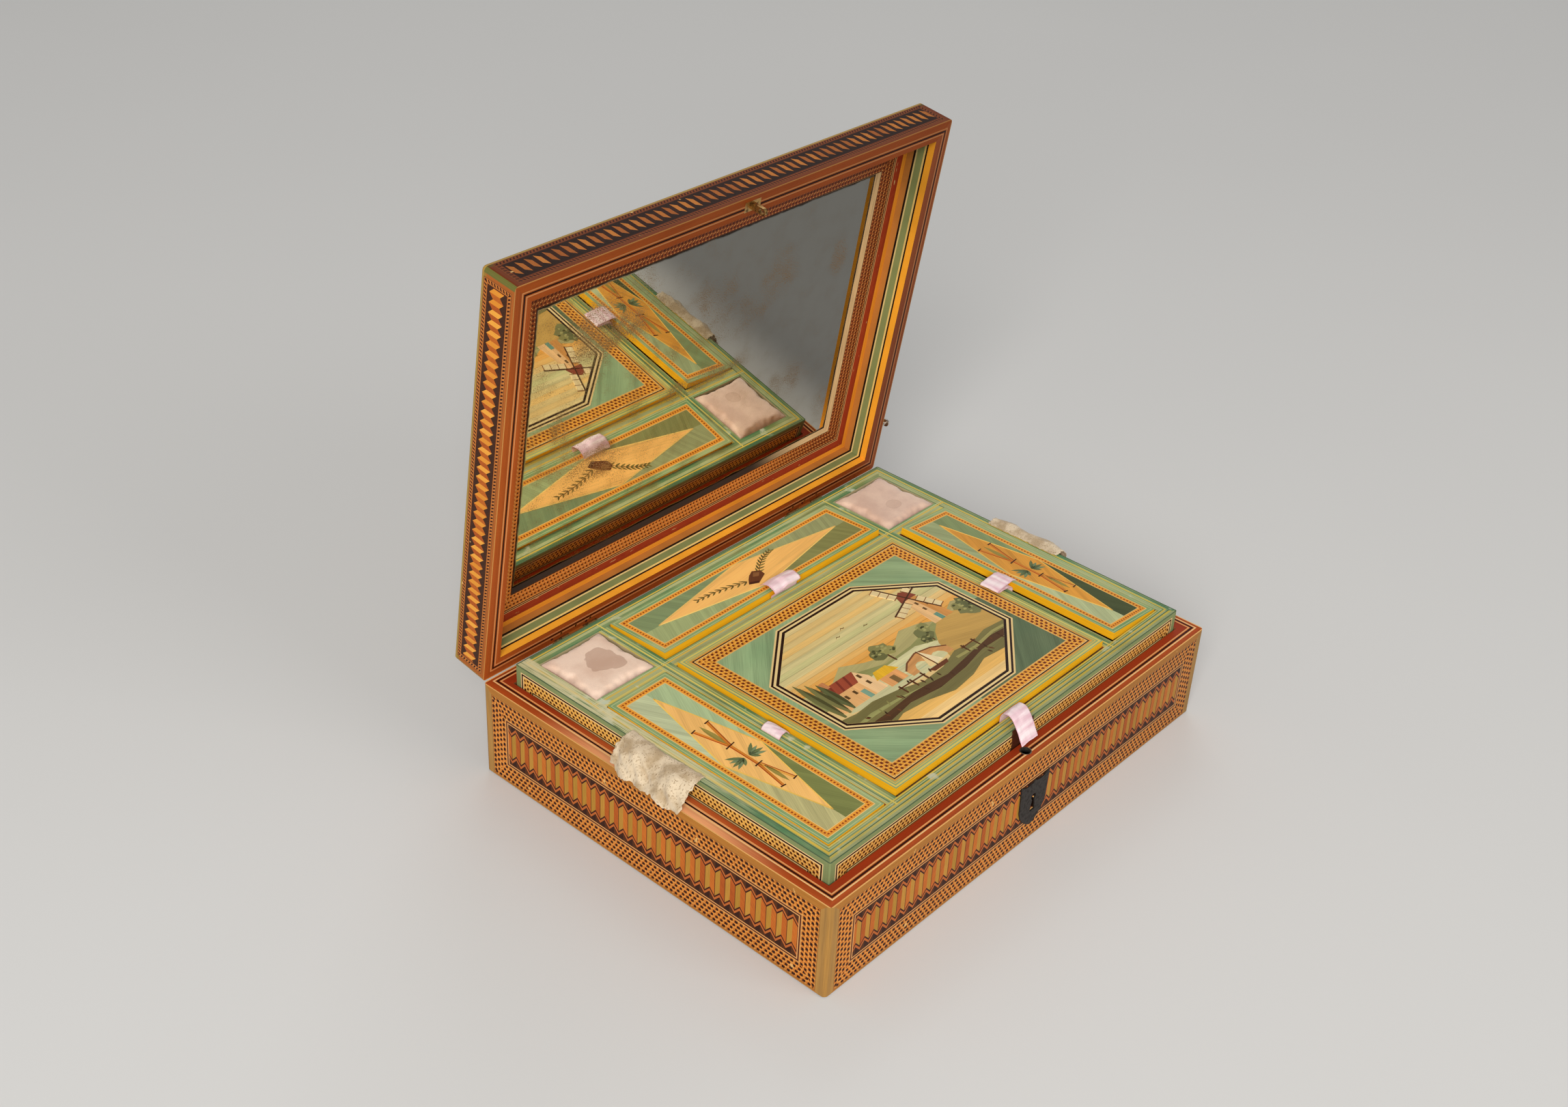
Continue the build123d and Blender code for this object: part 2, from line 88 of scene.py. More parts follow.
class Value:
    """A number in a material's node tree, with arithmetic. A comparison gives 1 or 0."""

    def __init__(self, graph, socket):
        self.graph, self.socket = graph, socket

    def __rsub__(self, other):
        return self.graph.math("SUBTRACT", other, self)

    def __neg__(self):
        return self * -1.0

    def band(self, low, high):
        return (self > low) & (self < high)

    def near(self, place, half):
        return abs(self - place) < half


def operator(operation):
    """A method that puts one math node after its operands."""
    return lambda self, *others: self.graph.math(operation, self, *others)


for method, operation in {
    "__add__": "ADD", "__radd__": "ADD", "__sub__": "SUBTRACT", "__mul__": "MULTIPLY",
    "__rmul__": "MULTIPLY", "__truediv__": "DIVIDE", "__lt__": "LESS_THAN", "__gt__": "GREATER_THAN",
    "__and__": "MULTIPLY", "__abs__": "ABSOLUTE", "fract": "FRACT", "floor": "FLOOR",
    "min": "MINIMUM", "max": "MAXIMUM",
}.items():
    setattr(Value, method, operator(operation))


class Graph:
    """A material with one principled shader."""

    def __init__(self, name, **sockets):
        self.material = bpy.data.materials.new(name)
        self.material.use_nodes = True
        self.tree = self.material.node_tree
        self.shader = self.tree.nodes["Principled BSDF"]
        for key, value in sockets.items():
            self.shader.inputs[key.replace("_", " ")].default_value = value
        self.coords = None

    def new(self, kind, **props):
        return assign(self.tree.nodes.new(kind), **props)

    def put(self, value, socket):
        """Link an output to a socket, or set a constant or a colour there."""
        if isinstance(value, Value):
            value = value.socket
        if hasattr(value, "is_output"):
            self.tree.links.new(value, socket)
        elif isinstance(value, str):
            socket.default_value = rgb(value)[:len(socket.default_value)]
        else:
            socket.default_value = value

    def math(self, operation, *args):
        node = self.new("ShaderNodeMath", operation=operation)
        for value, socket in zip(args, node.inputs):
            self.put(value, socket)
        return Value(self, node.outputs[0])

    def join(self, *numbers):
        node = self.new("ShaderNodeCombineXYZ")
        for value, socket in zip(numbers, node.inputs):
            self.put(value, socket)
        return node.outputs[0]

    def split(self, vector):
        node = self.new("ShaderNodeSeparateXYZ")
        self.put(vector, node.inputs[0])
        return [Value(self, socket) for socket in node.outputs]

    def attribute(self, name, output="Vector"):
        return self.new("ShaderNodeAttribute", attribute_name=name).outputs[output]

    def xyz(self):
        """Place on the object, in millimetres of the resting frame."""
        if self.coords is None:
            tex = self.new("ShaderNodeTexCoord")
            self.coords = [value * 1000.0 for value in self.split(tex.outputs["Object"])]
            self.facing = self.split(tex.outputs["Normal"])
        return self.coords

    def noise(self, a, b, c=0.0, scale=1.0, detail=2.0, rough=0.5):
        node = self.new("ShaderNodeTexNoise")
        settings = {"Scale": scale, "Detail": detail, "Roughness": rough, "Vector": self.join(a, b, c)}
        for key, value in settings.items():
            self.put(value, node.inputs[key])
        return Value(self, node.outputs["Fac"])

    def chance(self, a, b=0.0):
        """A random number from 0 to 1 for each pair of whole numbers."""
        node = self.new("ShaderNodeTexWhiteNoise", noise_dimensions="2D")
        self.put(self.join(a, b), node.inputs["Vector"])
        return Value(self, node.outputs["Value"])

    def smooth(self, value, low, high):
        """0 at low and 1 at high, with a soft start and end."""
        node = self.new("ShaderNodeMapRange", interpolation_type="SMOOTHSTEP")
        for key, number in (("Value", value), ("From Min", low), ("From Max", high)):
            self.put(number, node.inputs[key])
        return Value(self, node.outputs["Result"])

    def mix(self, factor, a, b):
        """Colour a where the factor is 0, b where it is 1."""
        node = self.new("ShaderNodeMix", data_type="RGBA")
        self.put(factor, node.inputs["Factor"])
        for key, value in (("A", a), ("B", b)):
            self.put(value, [s for s in node.inputs if s.name == key and s.type == "RGBA"][0])
        return [s for s in node.outputs if s.type == "RGBA"][0]

    def pick(self, factor, a, b):
        """Number a where the factor is 0, b where it is 1."""
        node = self.new("ShaderNodeMix", data_type="FLOAT")
        for i, value in ((0, factor), (2, a), (3, b)):
            self.put(value, node.inputs[i])
        return Value(self, node.outputs[0])

    def swap(self, factor, a, b):
        """a and b where the factor is 0, b and a where it is 1."""
        return self.pick(factor, a, b), self.pick(factor, b, a)

    def layers(self, base, *pairs):
        """Paint colours over a base, each where its mask is 1."""
        for mask, color in pairs:
            base = self.mix(mask, base, color)
        return base

    def shade(self, color, factor):
        """The colour times a number near 1."""
        node = self.new("ShaderNodeVectorMath", operation="SCALE")
        self.put(color, node.inputs[0])
        self.put(factor, node.inputs["Scale"])
        return node.outputs[0]

    def finish(self, color, height=None, strength=0.3, distance=0.0002, roughness=None):
        self.put(color, self.shader.inputs["Base Color"])
        if roughness is not None:
            self.put(roughness, self.shader.inputs["Roughness"])
        if height is not None:
            bump = self.new("ShaderNodeBump")
            for key, value in (("Strength", strength), ("Distance", distance), ("Height", height)):
                self.put(value, bump.inputs[key])
            self.put(bump.outputs[0], self.shader.inputs["Normal"])
        return self.material


# Straw. Colours are those of dyed and faded straw, with painted shade, sheen and highlight added where a
# comment says so; lengths are millimetres
def straw(name, shine=0.12):
    return Graph(name, Roughness=0.45, Specular_IOR_Level=shine)


def grain(g, along, across, splint=2.2, deep=0.2):
    """Brightness of split straw: fine streaks along it and a step between splints."""
    streak = g.noise(along * 0.05, across * 2.6, 3.1, detail=3.0)
    cloud = g.noise(along * 0.02, across * 0.08, 7.7, detail=1.0)
    step = g.chance((across / splint).floor())
    return 1.0 + (streak - 0.5) * (2.2 * deep) + (step - 0.5) * (0.8 * deep) + (cloud - 0.5) * deep


def dashes(g, along, across, pitch, period, duty=0.55, tall=0.31):
    """Rows of slanted dashes, every other row moved half a period: masks for the dark and light ones."""
    slant = 0.5
    rows = across / pitch
    row, f = rows.floor(), rows.fract()
    steps = (along + (row * 0.5).fract() * period + (f - 0.5) * slant) / period
    wander = (g.chance(steps.floor(), row) - 0.5) * 0.16
    dark = (steps.fract() < (wander + duty)) & (abs(f - 0.5) < tall)
    light = ((steps + 0.25).fract() < 0.3) & (abs(f - 0.5) > 0.3)
    return dark, light


def inset(x, y, x_span, y_span):
    """Distance in from a rectangle's nearest side, and 1 where that side is a left or right one."""
    (x0, x1), (y0, y1) = [s if isinstance(s, tuple) else (-s, s) for s in (x_span, y_span)]
    to_x, to_y = (x - x0).min(x1 - x), (y - y0).min(y1 - y)
    return to_x.min(to_y), to_x < to_y


def zigzag(u, period):
    """Pairs of bars: their count, the place in a pair from 0 to 1, and a wave from 1 down to 0."""
    steps = (u + FROM_LEFT) / period
    phase = steps.fract()
    return steps, phase, abs(phase - 0.5) * 2.0


def lid_place(g):
    """Distance from the hinge and depth from the rim plane, for the open lid."""
    x, y, z = g.xyz()
    back, up = y - HINGE_Y, z - HINGE_Z
    return x, up * LEAN_UP - back * LEAN_BACK, back * LEAN_UP + up * LEAN_BACK - HALF_GAP


def case_side(name, along_x):
    """Braid frame and zigzag panel outside, red banded rim, plain paper inside."""
    g = straw(name)
    x, y, z = g.xyz()
    u, half, out, wide = (x, CASE_X, y, CASE_Y) if along_x else (y, CASE_Y, x, CASE_X)
    v = CASE_Z - z
    corner_strip, foot = 2.2, 62.0
    braid_edge, braid_row, braid_period = 4.4, 2.65, 3.4
    tooth_height, upper_teeth, lower_teeth, tooth_line = 4.0, 20.5, 37.0, 2.2
    q, upright = inset(u, v, half - corner_strip, (0.0, foot))
    along = g.pick(upright, u, v)
    streak = grain(g, along, q, 2.1, 0.25)
    dark, light = dashes(g, along, q - braid_edge, braid_row, braid_period)
    steps, phase, wave = zigzag(u, 6.95)
    z1, z2 = wave * tooth_height + upper_teeth, wave * tooth_height + lower_teeth
    hatch = g.noise((u + v * 0.7) * 1.7, v * 0.15, 1.0)
    upgrain = g.noise(u * 3.2, v * 0.12, 5.0)
    lot = g.chance((steps * 2.0).floor(), 3.0)
    brown = g.shade(g.mix(lot, "C36B24", "AB521A"), hatch * 0.8 + 0.62)
    tan = g.shade(g.mix(lot, "BB8736", "A97C2B"), upgrain * 0.6 + 0.72)
    tooth = g.mix(phase < 0.5, "35170A", "4E280F")
    pink = g.shade("B4602A", hatch * 0.5 + 0.8)
    bars = g.mix(abs(phase - 0.5) > 0.465, g.mix(phase < 0.5, tan, brown), "6A3413")
    panel = g.layers(
        bars, (v < z1, pink), (v < z1 - tooth_line, tooth), (v > z2, pink), (v > z2 + tooth_line, tooth),
        (v.near(z1, 0.6), "3A140A"), (v.near(z2, 0.6), "3A140A"),
    )
    braid = g.shade(g.mix(g.noise(u * 0.05, v * 0.05, 2.0), "BC6C26", "D68232"), streak)
    braid = g.layers(braid, (light, "E2A653"), (dark, "2E1006"))
    level_edge = g.shade(g.mix(g.noise(u * 0.03, v * 0.2, 9.0), "B2742A", "A0682C"), streak)
    corner_post = g.shade(g.mix(g.noise(u * 0.4, v * 0.03, 6.0), "BC8A44", "86663A"), streak)
    edge = g.mix(upright, level_edge, corner_post)
    color = g.layers(
        panel, (q < 17.3, "D79B5C"), (q < 16.6, "54200F"), (q < 15.7, "CF9352"),
        (q.band(braid_edge, 15.0), braid), (q < braid_edge, edge), (q.near(4.3, 0.2), "8A5A2A"),
    )
    wear = g.smooth(g.noise(u * 0.12, v * 0.12, 4.0, detail=4.0), 0.68, 0.74)
    color = g.mix(wear & (q < 16.0), color, "E3B26B")
    # The front and back walls are painted darker towards the right: painted shade.
    if along_x:
        color = g.shade(color, g.smooth(x, -60.0, 165.0) * -0.16 + 1.0)

    line, _ = inset(x, y, (-158.4, 160.8), (-119.6, 121.0))
    outer, turn = inset(x, y, CASE_X, CASE_Y)
    rim_grain = grain(g, *g.swap(turn, x, y), 1.6, 0.22)
    faded = g.smooth(abs(y + 5.0), 95.0, 25.0) & (x < -150.0)
    fresh_red = g.mix(g.noise(x * 0.02, y * 0.02, 8.0), "A23F16", "B25220")
    rim = g.layers(
        g.shade(g.mix(faded, fresh_red, "F0A874"), rim_grain),
        (line > 1.8, g.shade(g.mix(faded, "9A3616", "B85A2C"), rim_grain)), (line.near(-1.4, 0.45), "EFC285"),
        (line.near(0.0, 0.55), INK), (line.near(1.4, 0.42), "E5A365"), (outer < 0.7, "E9B26A"),
    )
    # The keyhole's inner sides are painted near black: painted shade inside the hole.
    keyhole = (abs(x - 2.0) < 3.4) & z.band(19.0, 34.0) & (y < -116.0) & (g.facing[1] > -FACING)
    color = g.layers(
        color, (keyhole, "1C100A"), (abs(out) < (wide - SKIN), g.shade("8A5636", rim_grain)),
        (g.facing[2] > FACING, rim), (g.facing[2] < -FACING, g.shade("8B6A44", rim_grain)),
    )
    return g.finish(color, streak, 0.25)


def lid_side(name, along_x, pales=("EBA440", "DA8A2B"), browns=("A8501B", "BA6220"), ground="3A2012",
             line="BC7030", sides=("A45A22", "927430"), post_width=2.6, shine=0.12):
    """Barber-pole band between chequer lines outside, banded rim, lined recess."""
    g = straw(name, shine)
    x, far, deep = lid_place(g)
    run = far - LID_MIDDLE
    u, half, out, wide = (x, CASE_X, run, CASE_Y) if along_x else (run, CASE_Y, x, CASE_X)
    corner_strip, top_edge = 2.8, 0.3
    q, upright = inset(u, deep, half - corner_strip, (0.0, LID_H - top_edge))
    along = g.pick(upright, u, deep)
    streak = grain(g, along, q, 1.8, 0.22)
    steps, phase, wave = zigzag(u, 5.75)
    hatch = g.noise((u + deep * 0.8) * 2.0, deep * 0.2, 1.0)
    fine = g.noise(u * 3.5, deep * 0.15, 5.0)
    lot = g.chance(steps.floor(), 5.0)
    pale = g.shade(g.mix(lot, *pales), fine * 0.4 + 0.8)
    brown = g.shade(g.mix(lot, *browns), hatch * 0.6 + 0.7)
    dark = g.shade(ground, hatch * 1.4 + 0.5)
    dot = (((along + q * 0.5) / 2.1).fract() < 0.48) & q.near(3.2, 0.8)
    edge = g.shade(g.mix(g.smooth(deep, 19.0, 21.0), *sides), streak)
    post = g.shade(g.mix(g.smooth(run, -40.0, 80.0), "A07238", "6C6A34"), streak)
    color = g.layers(
        g.mix(phase < 0.5, brown, pale), (deep < wave * 2.8 + 6.8, dark), (deep > wave * 2.9 + 14.2, dark),
        (q < 5.1, DARK_BROWN), (q < 4.6, g.shade(line, streak)), (dot, MAROON), (q < 1.9, edge),
        ((half - abs(u)) < post_width, post), (q.near(1.95, 0.18), "6B4020"),
    )
    wear = g.smooth(g.noise(u * 0.15, deep * 0.15, 4.0, detail=4.0), 0.7, 0.75)
    color = g.mix(wear & (q < 6.0), color, "EBC07C")

    ring, _ = inset(x, far, (-158.3, 160.4), (6.6, 243.7))
    outer, turn = inset(x, run, CASE_X, CASE_Y)
    rim_grain = grain(g, *g.swap(turn, x, far), 1.6, 0.22)
    rim = g.layers(
        g.shade(g.mix(g.noise(x * 0.02, far * 0.02, 8.0), "9A4418", "AE5822"), rim_grain),
        (ring.near(-1.4, 0.4), "D08A52"), (ring.near(0.0, 0.5), "24110B"), (ring.near(1.4, 0.4), "D58E58"),
        (outer < 0.7, "C98C4C"),
    )
    # The rim is painted darker towards the far end and the right: painted shade.
    rim = g.shade(rim, g.smooth(far + x * 0.8, -20.0, 240.0) * -0.48 + 1.0)
    for nail in (-115.0, -89.0, 83.0, 95.0):
        mark = ((x - nail) * (x - nail) + (far - 4.0) * (far - 4.0)) < 0.8
        rim = g.mix(mark, rim, "4A1A12")
    lining = g.layers(
        g.shade("F4A630", rim_grain), (deep > 4.3, "1F1510"), (deep > 5.4, "E9C777"),
        (deep > 6.6, g.shade("848C58", rim_grain)), (deep > 11.0, "DDC684"), (deep > 12.0, "1F1510"),
        (deep > 13.4, g.shade("B87838", rim_grain)),
    )
    # The lining is painted darker towards the far end: painted shade.
    lining = g.shade(lining, g.smooth(far, 120.0, 250.0) * -0.45 + 1.0)
    toward = -(g.facing[1] * LEAN_UP + g.facing[2] * LEAN_BACK)
    color = g.layers(color, (abs(out) < (wide - SKIN), lining), (toward > FACING, rim))
    return g.finish(color, streak, 0.25)


def lid_cover(name):
    """The lid's top: braid border round a field of straw lozenges."""
    g = straw(name)
    x, far, deep = lid_place(g)
    run = far - LID_MIDDLE
    q, upright = inset(x, run, CASE_X, CASE_Y)
    along = g.pick(upright, x, run)
    streak = grain(g, along, q, 2.1, 0.24)
    dark, light = dashes(g, along, q - 6.0, 2.4, 3.1)
    a, b = x * 0.05 + run * 0.085, x * 0.05 - run * 0.085
    cell = g.chance(a.floor(), b.floor())
    odd = ((a.floor() + b.floor()) * 0.5).fract() > 0.25
    lozenge = g.mix(odd, g.mix(cell, "C8873C", "B4703A"), g.mix(cell, "8C8B4A", "A2924F"))
    in_border = q < 17.2
    color = g.layers(
        g.shade(lozenge, streak), (a.fract() < 0.05, DARK_BROWN), (b.fract() < 0.05, DARK_BROWN),
        (q < 30.0, g.shade("B8743A", streak)), (q.band(28.0, 29.0), INK), (q < 24.0, "E0B06A"),
        (q < 23.0, g.shade("6F8450", streak)), (q < 18.0, INK), (in_border, g.shade("C6823F", streak)),
        (dark & in_border, "5A2411"), (light & in_border, "DFA761"),
        (q < 5.6, g.shade("A4823F", streak)), (q.near(5.5, 0.3), DARK_BROWN),
    )
    return g.finish(color, streak, 0.25)


def recess_frame(name):
    """Strips round the mirror: orange, worn red, lines, a band of dashes and a gilt bevel, painted bright on
    the right as a highlight and near black on the left as shade.
    """
    g = straw(name)
    x, far, _ = lid_place(g)
    w, upright = inset(x, far, 153.5, (11.9, 238.9))
    along = g.pick(upright, x, far)
    streak = grain(g, along, w, 1.8, 0.24)
    dark, light = dashes(g, along, w - 12.2, 2.9, 2.6, duty=0.45, tall=0.2)
    high = g.smooth(far, 90.0, 230.0).max(g.smooth(x, 50.0, 135.0))
    chequer = g.shade(g.mix(high, "C87430", "86401C"), streak)
    red = g.shade(g.mix(g.noise(along * 0.15, w * 0.2, 3.0), "922818", "A0401F"), streak)
    gone = g.smooth(g.noise(along * 0.1, w * 0.5, 6.0, detail=4.0), 0.66, 0.7)
    # The bevel is painted near black on the left and far side as painted shade, and bright gilt on the right as
    # a painted highlight.
    shaded_bevel = g.mix(g.smooth(far, 120.0, 60.0), "2A1B12", "33241A")
    bevel = g.mix(g.smooth(x, 60.0, 110.0), shaded_bevel, g.shade("B4946A", streak * streak))
    color = g.layers(
        g.shade("E0902C", streak), (w > 3.5, g.mix(gone, red, "C9A06A")), (w > 9.1, "D59A62"), (w > 9.7, INK),
        (w > 10.4, "D59A62"), (w > 11.0, INK), (w > 11.7, chequer), (light & (w > 11.8), "DD9B55"),
        (dark & (w > 11.8), "4A1C0C"), (w > 20.9, "5B2A14"), (w > 21.5, bevel),
    )
    # The whole frame is painted darker towards the far end and the right: painted shade.
    color = g.shade(color, g.smooth(far + x * 0.3, 120.0, 280.0) * -0.3 + 1.0)
    return g.finish(color, streak, 0.2)


def mirror_coat():
    """Old silvering with brown speckles, a few clouded rings, and a grey painted reflection over its far right.
    """
    g = Graph("old_mirror", Metallic=1.0)
    x, far, _ = lid_place(g)
    spots = None
    for cx, cy, rx, ry, power in (
        (57, 172, 20, 20, 1.0), (110, 166, 9, 15, 1.0), (6, 172, 18, 20, 0.7), (30, 156, 34, 18, 0.7),
        (84, 92, 18, 20, 0.8), (120, 62, 12, 12, 0.6), (-84, 186, 20, 22, 0.8), (-66, 182, 20, 14, 0.8),
        (2, 122, 40, 8, 0.9), (-80, 95, 26, 14, 0.7), (-105, 120, 8, 40, 0.5),
    ):
        dx, dy = (x - cx) / rx, (far - cy) / ry
        spot = g.smooth(dx * dx + dy * dy, 1.3, 0.2) * power
        spots = spot if spots is None else spots.max(spot)
    speck = g.noise(x * 1.5 - far * 0.3, far * 1.2 + x * 0.4, 2.0, detail=5.0, rough=0.8)
    cloud = g.noise(x * 0.07, far * 0.07, 5.0, detail=4.0)
    left = g.smooth(x, 60.0, -60.0)
    foxing = g.smooth(speck + (cloud - 0.5) * 0.3 + spots * 0.11 + left * 0.05, 0.61, 0.68)
    tarnish = (g.smooth(cloud, 0.4, 0.75) * 0.3 + spots * 0.2).min(0.6)
    # A grey painted reflection over the far right of the glass, standing for dark surroundings seen in it.
    dark_reflection = g.smooth(far + x * 0.9, 120.0, 190.0)
    edge, _ = inset(x, far, 130.2, (35.2, 215.6))
    worn = g.smooth(edge + (cloud - 0.5) * 3.0, 2.0, 0.6)
    color = g.layers(
        g.mix(tarnish, "FBF6E6", "C9B48C"), (dark_reflection * 0.9, "666663"), (foxing * 0.75, "8A6A42"), (worn, "2B211A"),
    )
    return g.finish(color, roughness=foxing * 0.3 + 0.012 + worn * 0.4)


def green_straw(g, x, y, along, across, tone=0.0):
    """Sea-green straw laid in narrow strips, faded in places."""
    width = 1.9
    step = g.chance((across / width).floor(), 2.0)
    fade = g.smooth(g.noise(x * 0.025, y * 0.025, 1.5 + tone, detail=3.0), 0.35, 0.7)
    olive = g.smooth(g.noise(x * 0.03, y * 0.03, 9.0 + tone), 0.5, 0.75)
    color = g.layers(
        "739A68", (step < 0.22, "4E7C54"), (step > 0.55, "A6B07E"), (step > 0.84, "D3BC4C"),
        (fade * 0.5, "C2BF88"), (olive * 0.5, "8A8846"),
    )
    return g.shade(color, grain(g, along, across, width, 0.3))


def tray_board(name):
    """Green straw with yellow lines on top, a braid frame on the sides, plain inside."""
    g = straw(name)
    x, y, z = g.xyz()
    edge, turn = inset(x, y, TRAY_X, TRAY_Y)
    inner = (abs(x) < WELL_X) & (abs(y) < WELL_Y)
    upright = g.pick(inner, turn, abs(x).near(95.5, 4.1))
    line, _ = inset(x, y, (-147.2, 148.6), (-106.9, 109.4))
    inside = line > -0.3
    across_line = y - 56.2
    color = g.layers(
        green_straw(g, x, y, *g.swap(upright, x, y)),
        (line.near(1.6, 0.35), "B9C08A"), (line.near(-1.7, 0.3), "4F6E50"), (line.near(0.0, 0.45), "DDBB4C"),
        (across_line.near(0.0, 0.45) & inside, "DDB94E"), (across_line.near(1.3, 0.3) & inside, "C7C88E"),
        (x.near(-95.4, 0.5) & inside, "DCCB6A"), (x.near(95.8, 0.5) & inside, "DCCB6A"),
        (abs(x).near(97.1, 0.25) & inside & inner, "55765A"),
        (abs(x).near(93.6, 0.25) & inside & inner, "B7BD84"),
    )
    worn = g.noise(x * 0.08, y * 0.08, 6.0, detail=4.0)
    pale = g.smooth(abs(y - 60.0), 60.0, 10.0) & (x < -140.0)
    color = g.mix(g.smooth(worn + pale * 0.12, 0.64, 0.74) * 0.8, color, "CFD6BE")
    color = g.shade(color, g.smooth(y, -112.0, -92.0) * 0.16 + 0.84)
    # Pale streaks along the tray's left edge: a painted sheen.
    painted_sheen = (x < -143.0) & g.smooth(y + g.noise(y * 0.1, x * 0.2, 2.0) * 60.0, -60.0, 40.0)
    sheen_streaks = g.smooth(g.noise(x * 1.4, y * 0.04, 8.0), 0.3, 0.55)
    top = g.layers(color, (painted_sheen * sheen_streaks * 0.85, "DCD3A6"), (edge < 0.7, "53684A"))

    v = TRAY_Z - z
    side_x = abs(g.facing[0]) > FACING
    u, half = g.pick(side_x, x, y), g.pick(side_x, TRAY_X, TRAY_Y)
    q, stand = inset(u, v, half - 1.6, (0.3, 37.8))
    run = g.pick(stand, u, v)
    dark, light = dashes(g, run, q - 4.9, 2.15, 3.0, duty=0.5)
    streak = grain(g, run, q, 2.0, 0.24)
    braid = g.shade(g.mix(g.smooth(y, -60.0, -112.0), "E2AC50", "CF9546"), streak)
    side = g.layers(
        g.shade("B98D4C", streak), (q < 12.8, "E6C48A"), (q < 12.2, "24110B"),
        (q < 11.4, g.layers(braid, (light, "F0C878"), (dark, "421A0B"))), (q < 4.9, "EBC78A"),
        (q < 4.2, "24110B"), (q < 3.2, "E8C890"), (q < 2.6, g.shade("7F8C5E", streak)),
    )
    # A dark patch on the front under the centre pull: bare wood where the straw is gone, and painted shadow of
    # the pull.
    bare_patch_and_shadow = g.smooth(g.noise(x * 0.1, z * 0.25, 3.0) * 6.0 - abs(x - 3.0), -7.0, -5.5) & (y < -112.0)
    within = (abs(x) < (TRAY_X - SKIN)) & (abs(y) < (TRAY_Y - SKIN))
    # Beside the cushions the inner walls are pale: painted light that lifts the shade in the gap.
    by_cushion = (abs(x) > 99.0) & (y > 58.0)
    color = g.layers(
        side, (bare_patch_and_shadow, g.shade("4A2618", streak)),
        (within, g.shade(g.mix(by_cushion, "9A4A2C", "B5AA84"), streak)),
        (g.facing[2] > FACING, top), (g.facing[2] < -FACING, g.shade("7A5A38", grain(g, x, y, 3.0, 0.2))),
    )
    return g.finish(color, streak, 0.25)


def small_lid(name, x_span, y_span, quarters=None):
    """Green margin, dotted orange band and shaded field, with bright yellow edges.

    With four colours the field is quartered, else it holds an octagonal frame.
    """
    g = straw(name)
    x, y, z = g.xyz()
    e, turn = inset(x, y, x_span, y_span)
    along = g.pick(turn, x, y)
    margin = green_straw(g, x, y, along, e, 2.0)
    streak = grain(g, along, e, 1.7, 0.22)
    dx, dy = x - sum(x_span) / 2, y - sum(y_span) / 2
    right, upper, same = dx > 0.0, dy > 0.0, (dx * dy) > 0.0
    if quarters:
        dot = ((along / 2.15).fract() < 0.5) & e.near(5.15, 0.55)
        orange = g.layers(g.shade("F0A238", streak), (dot, "9A3E14"))
        tone = g.mix(upper, g.mix(right, *quarters[2:]), g.mix(right, *quarters[:2]))
        lie = g.pick(same, dx - dy * 2.0, dx + dy * 2.0) * 0.45
        other = g.pick(same, dx * 2.0 + dy, dx * 2.0 - dy) * 0.45
        field = g.shade(tone, grain(g, lie, other, 2.4, 0.28))
        color = g.layers(
            margin, (e.near(1.2, 0.25), "B9C68E"), (e > 3.1, "F0CB82"), (e > 3.6, orange),
            (e > 6.7, "F0CB82"), (e > 7.1, field),
        )
    else:
        dark, light = dashes(g, along, e - 7.2, 2.35, 3.2, duty=0.5)
        orange = g.layers(g.shade("E69A34", streak), (light, "F3C062"), (dark, "6E2A12"))
        diagonal, other = [v * 0.707 for v in g.swap(same, dx - dy, dx + dy)]
        field = g.mix(g.noise(x * 0.03, y * 0.03, 4.0), "6C8A64", "94A278")
        field = g.shade(field, grain(g, other, diagonal, 2.6, 0.35))
        # Each quarter of the field is painted lighter or darker: painted sheen and shade by the lie of the
        # straw.
        field = g.shade(field, g.pick(right, g.pick(upper, 1.25, 1.4), g.pick(upper, 0.5, 1.25)))
        out, up = abs(dx), abs(y + 26.5)
        ring = (73.0 - out).min(59.5 - up).min(66.19 - out * 0.6212 - up * 0.7836)
        color = g.layers(
            margin, (e.near(1.3, 0.55), "DCC766"), (e.near(3.0, 0.35), "D9B659"),
            (e > 4.2, g.shade("E2A24A", streak)), (e > 5.3, "2A150C"), (e > 6.1, "E9BF7A"), (e > 6.7, orange),
            (e > 14.3, "E5B368"), (e > 14.9, field), (ring > 0.0, "EBCB8C"), (ring > 1.05, "2A140C"),
            (ring > 2.3, "F0D294"), (ring > 3.7, "2A140C"), (ring > 5.3, "E8C888"),
        )
    yellow = g.shade("F2B21C", grain(g, along, z, 1.4, 0.18))
    spots = g.noise(x * 0.05, y * 0.05, 3.0, detail=5.0) * 0.4 + 0.8
    paper = g.shade("9A7A52", grain(g, x, y, 3.0, 0.12) * spots)
    color = g.layers(color, (g.facing[2] < FACING, yellow), (g.facing[2] < -FACING, paper))
    return g.finish(color, streak, 0.22)


def wood(name, tone):
    """Plain wood with soft rings."""
    g = Graph(name, Roughness=0.7)
    x, y, z = g.xyz()
    rings = g.noise(x * 0.02, y * 0.3, z * 0.3, detail=4.0)
    return g.finish(g.shade(tone, rings * 0.7 + 0.65), rings, 0.2)


def metal(name, color, rough, spots, metallic=1.0):
    """Old metal with tarnished spots."""
    g = Graph(name, Metallic=metallic)
    x, y, z = g.xyz()
    n = g.noise(x * 0.5, y * 0.5, z * 0.5, detail=5.0)
    return g.finish(g.mix(g.smooth(n, 0.45, 0.7), color, spots), n, 0.25, 0.0001, roughness=n * 0.3 + rough)


def linen():
    g = Graph("linen", Roughness=0.9)
    return g.finish(g.shade("B3A27C", g.noise(*g.xyz(), scale=4.0) * 0.5 + 0.75))


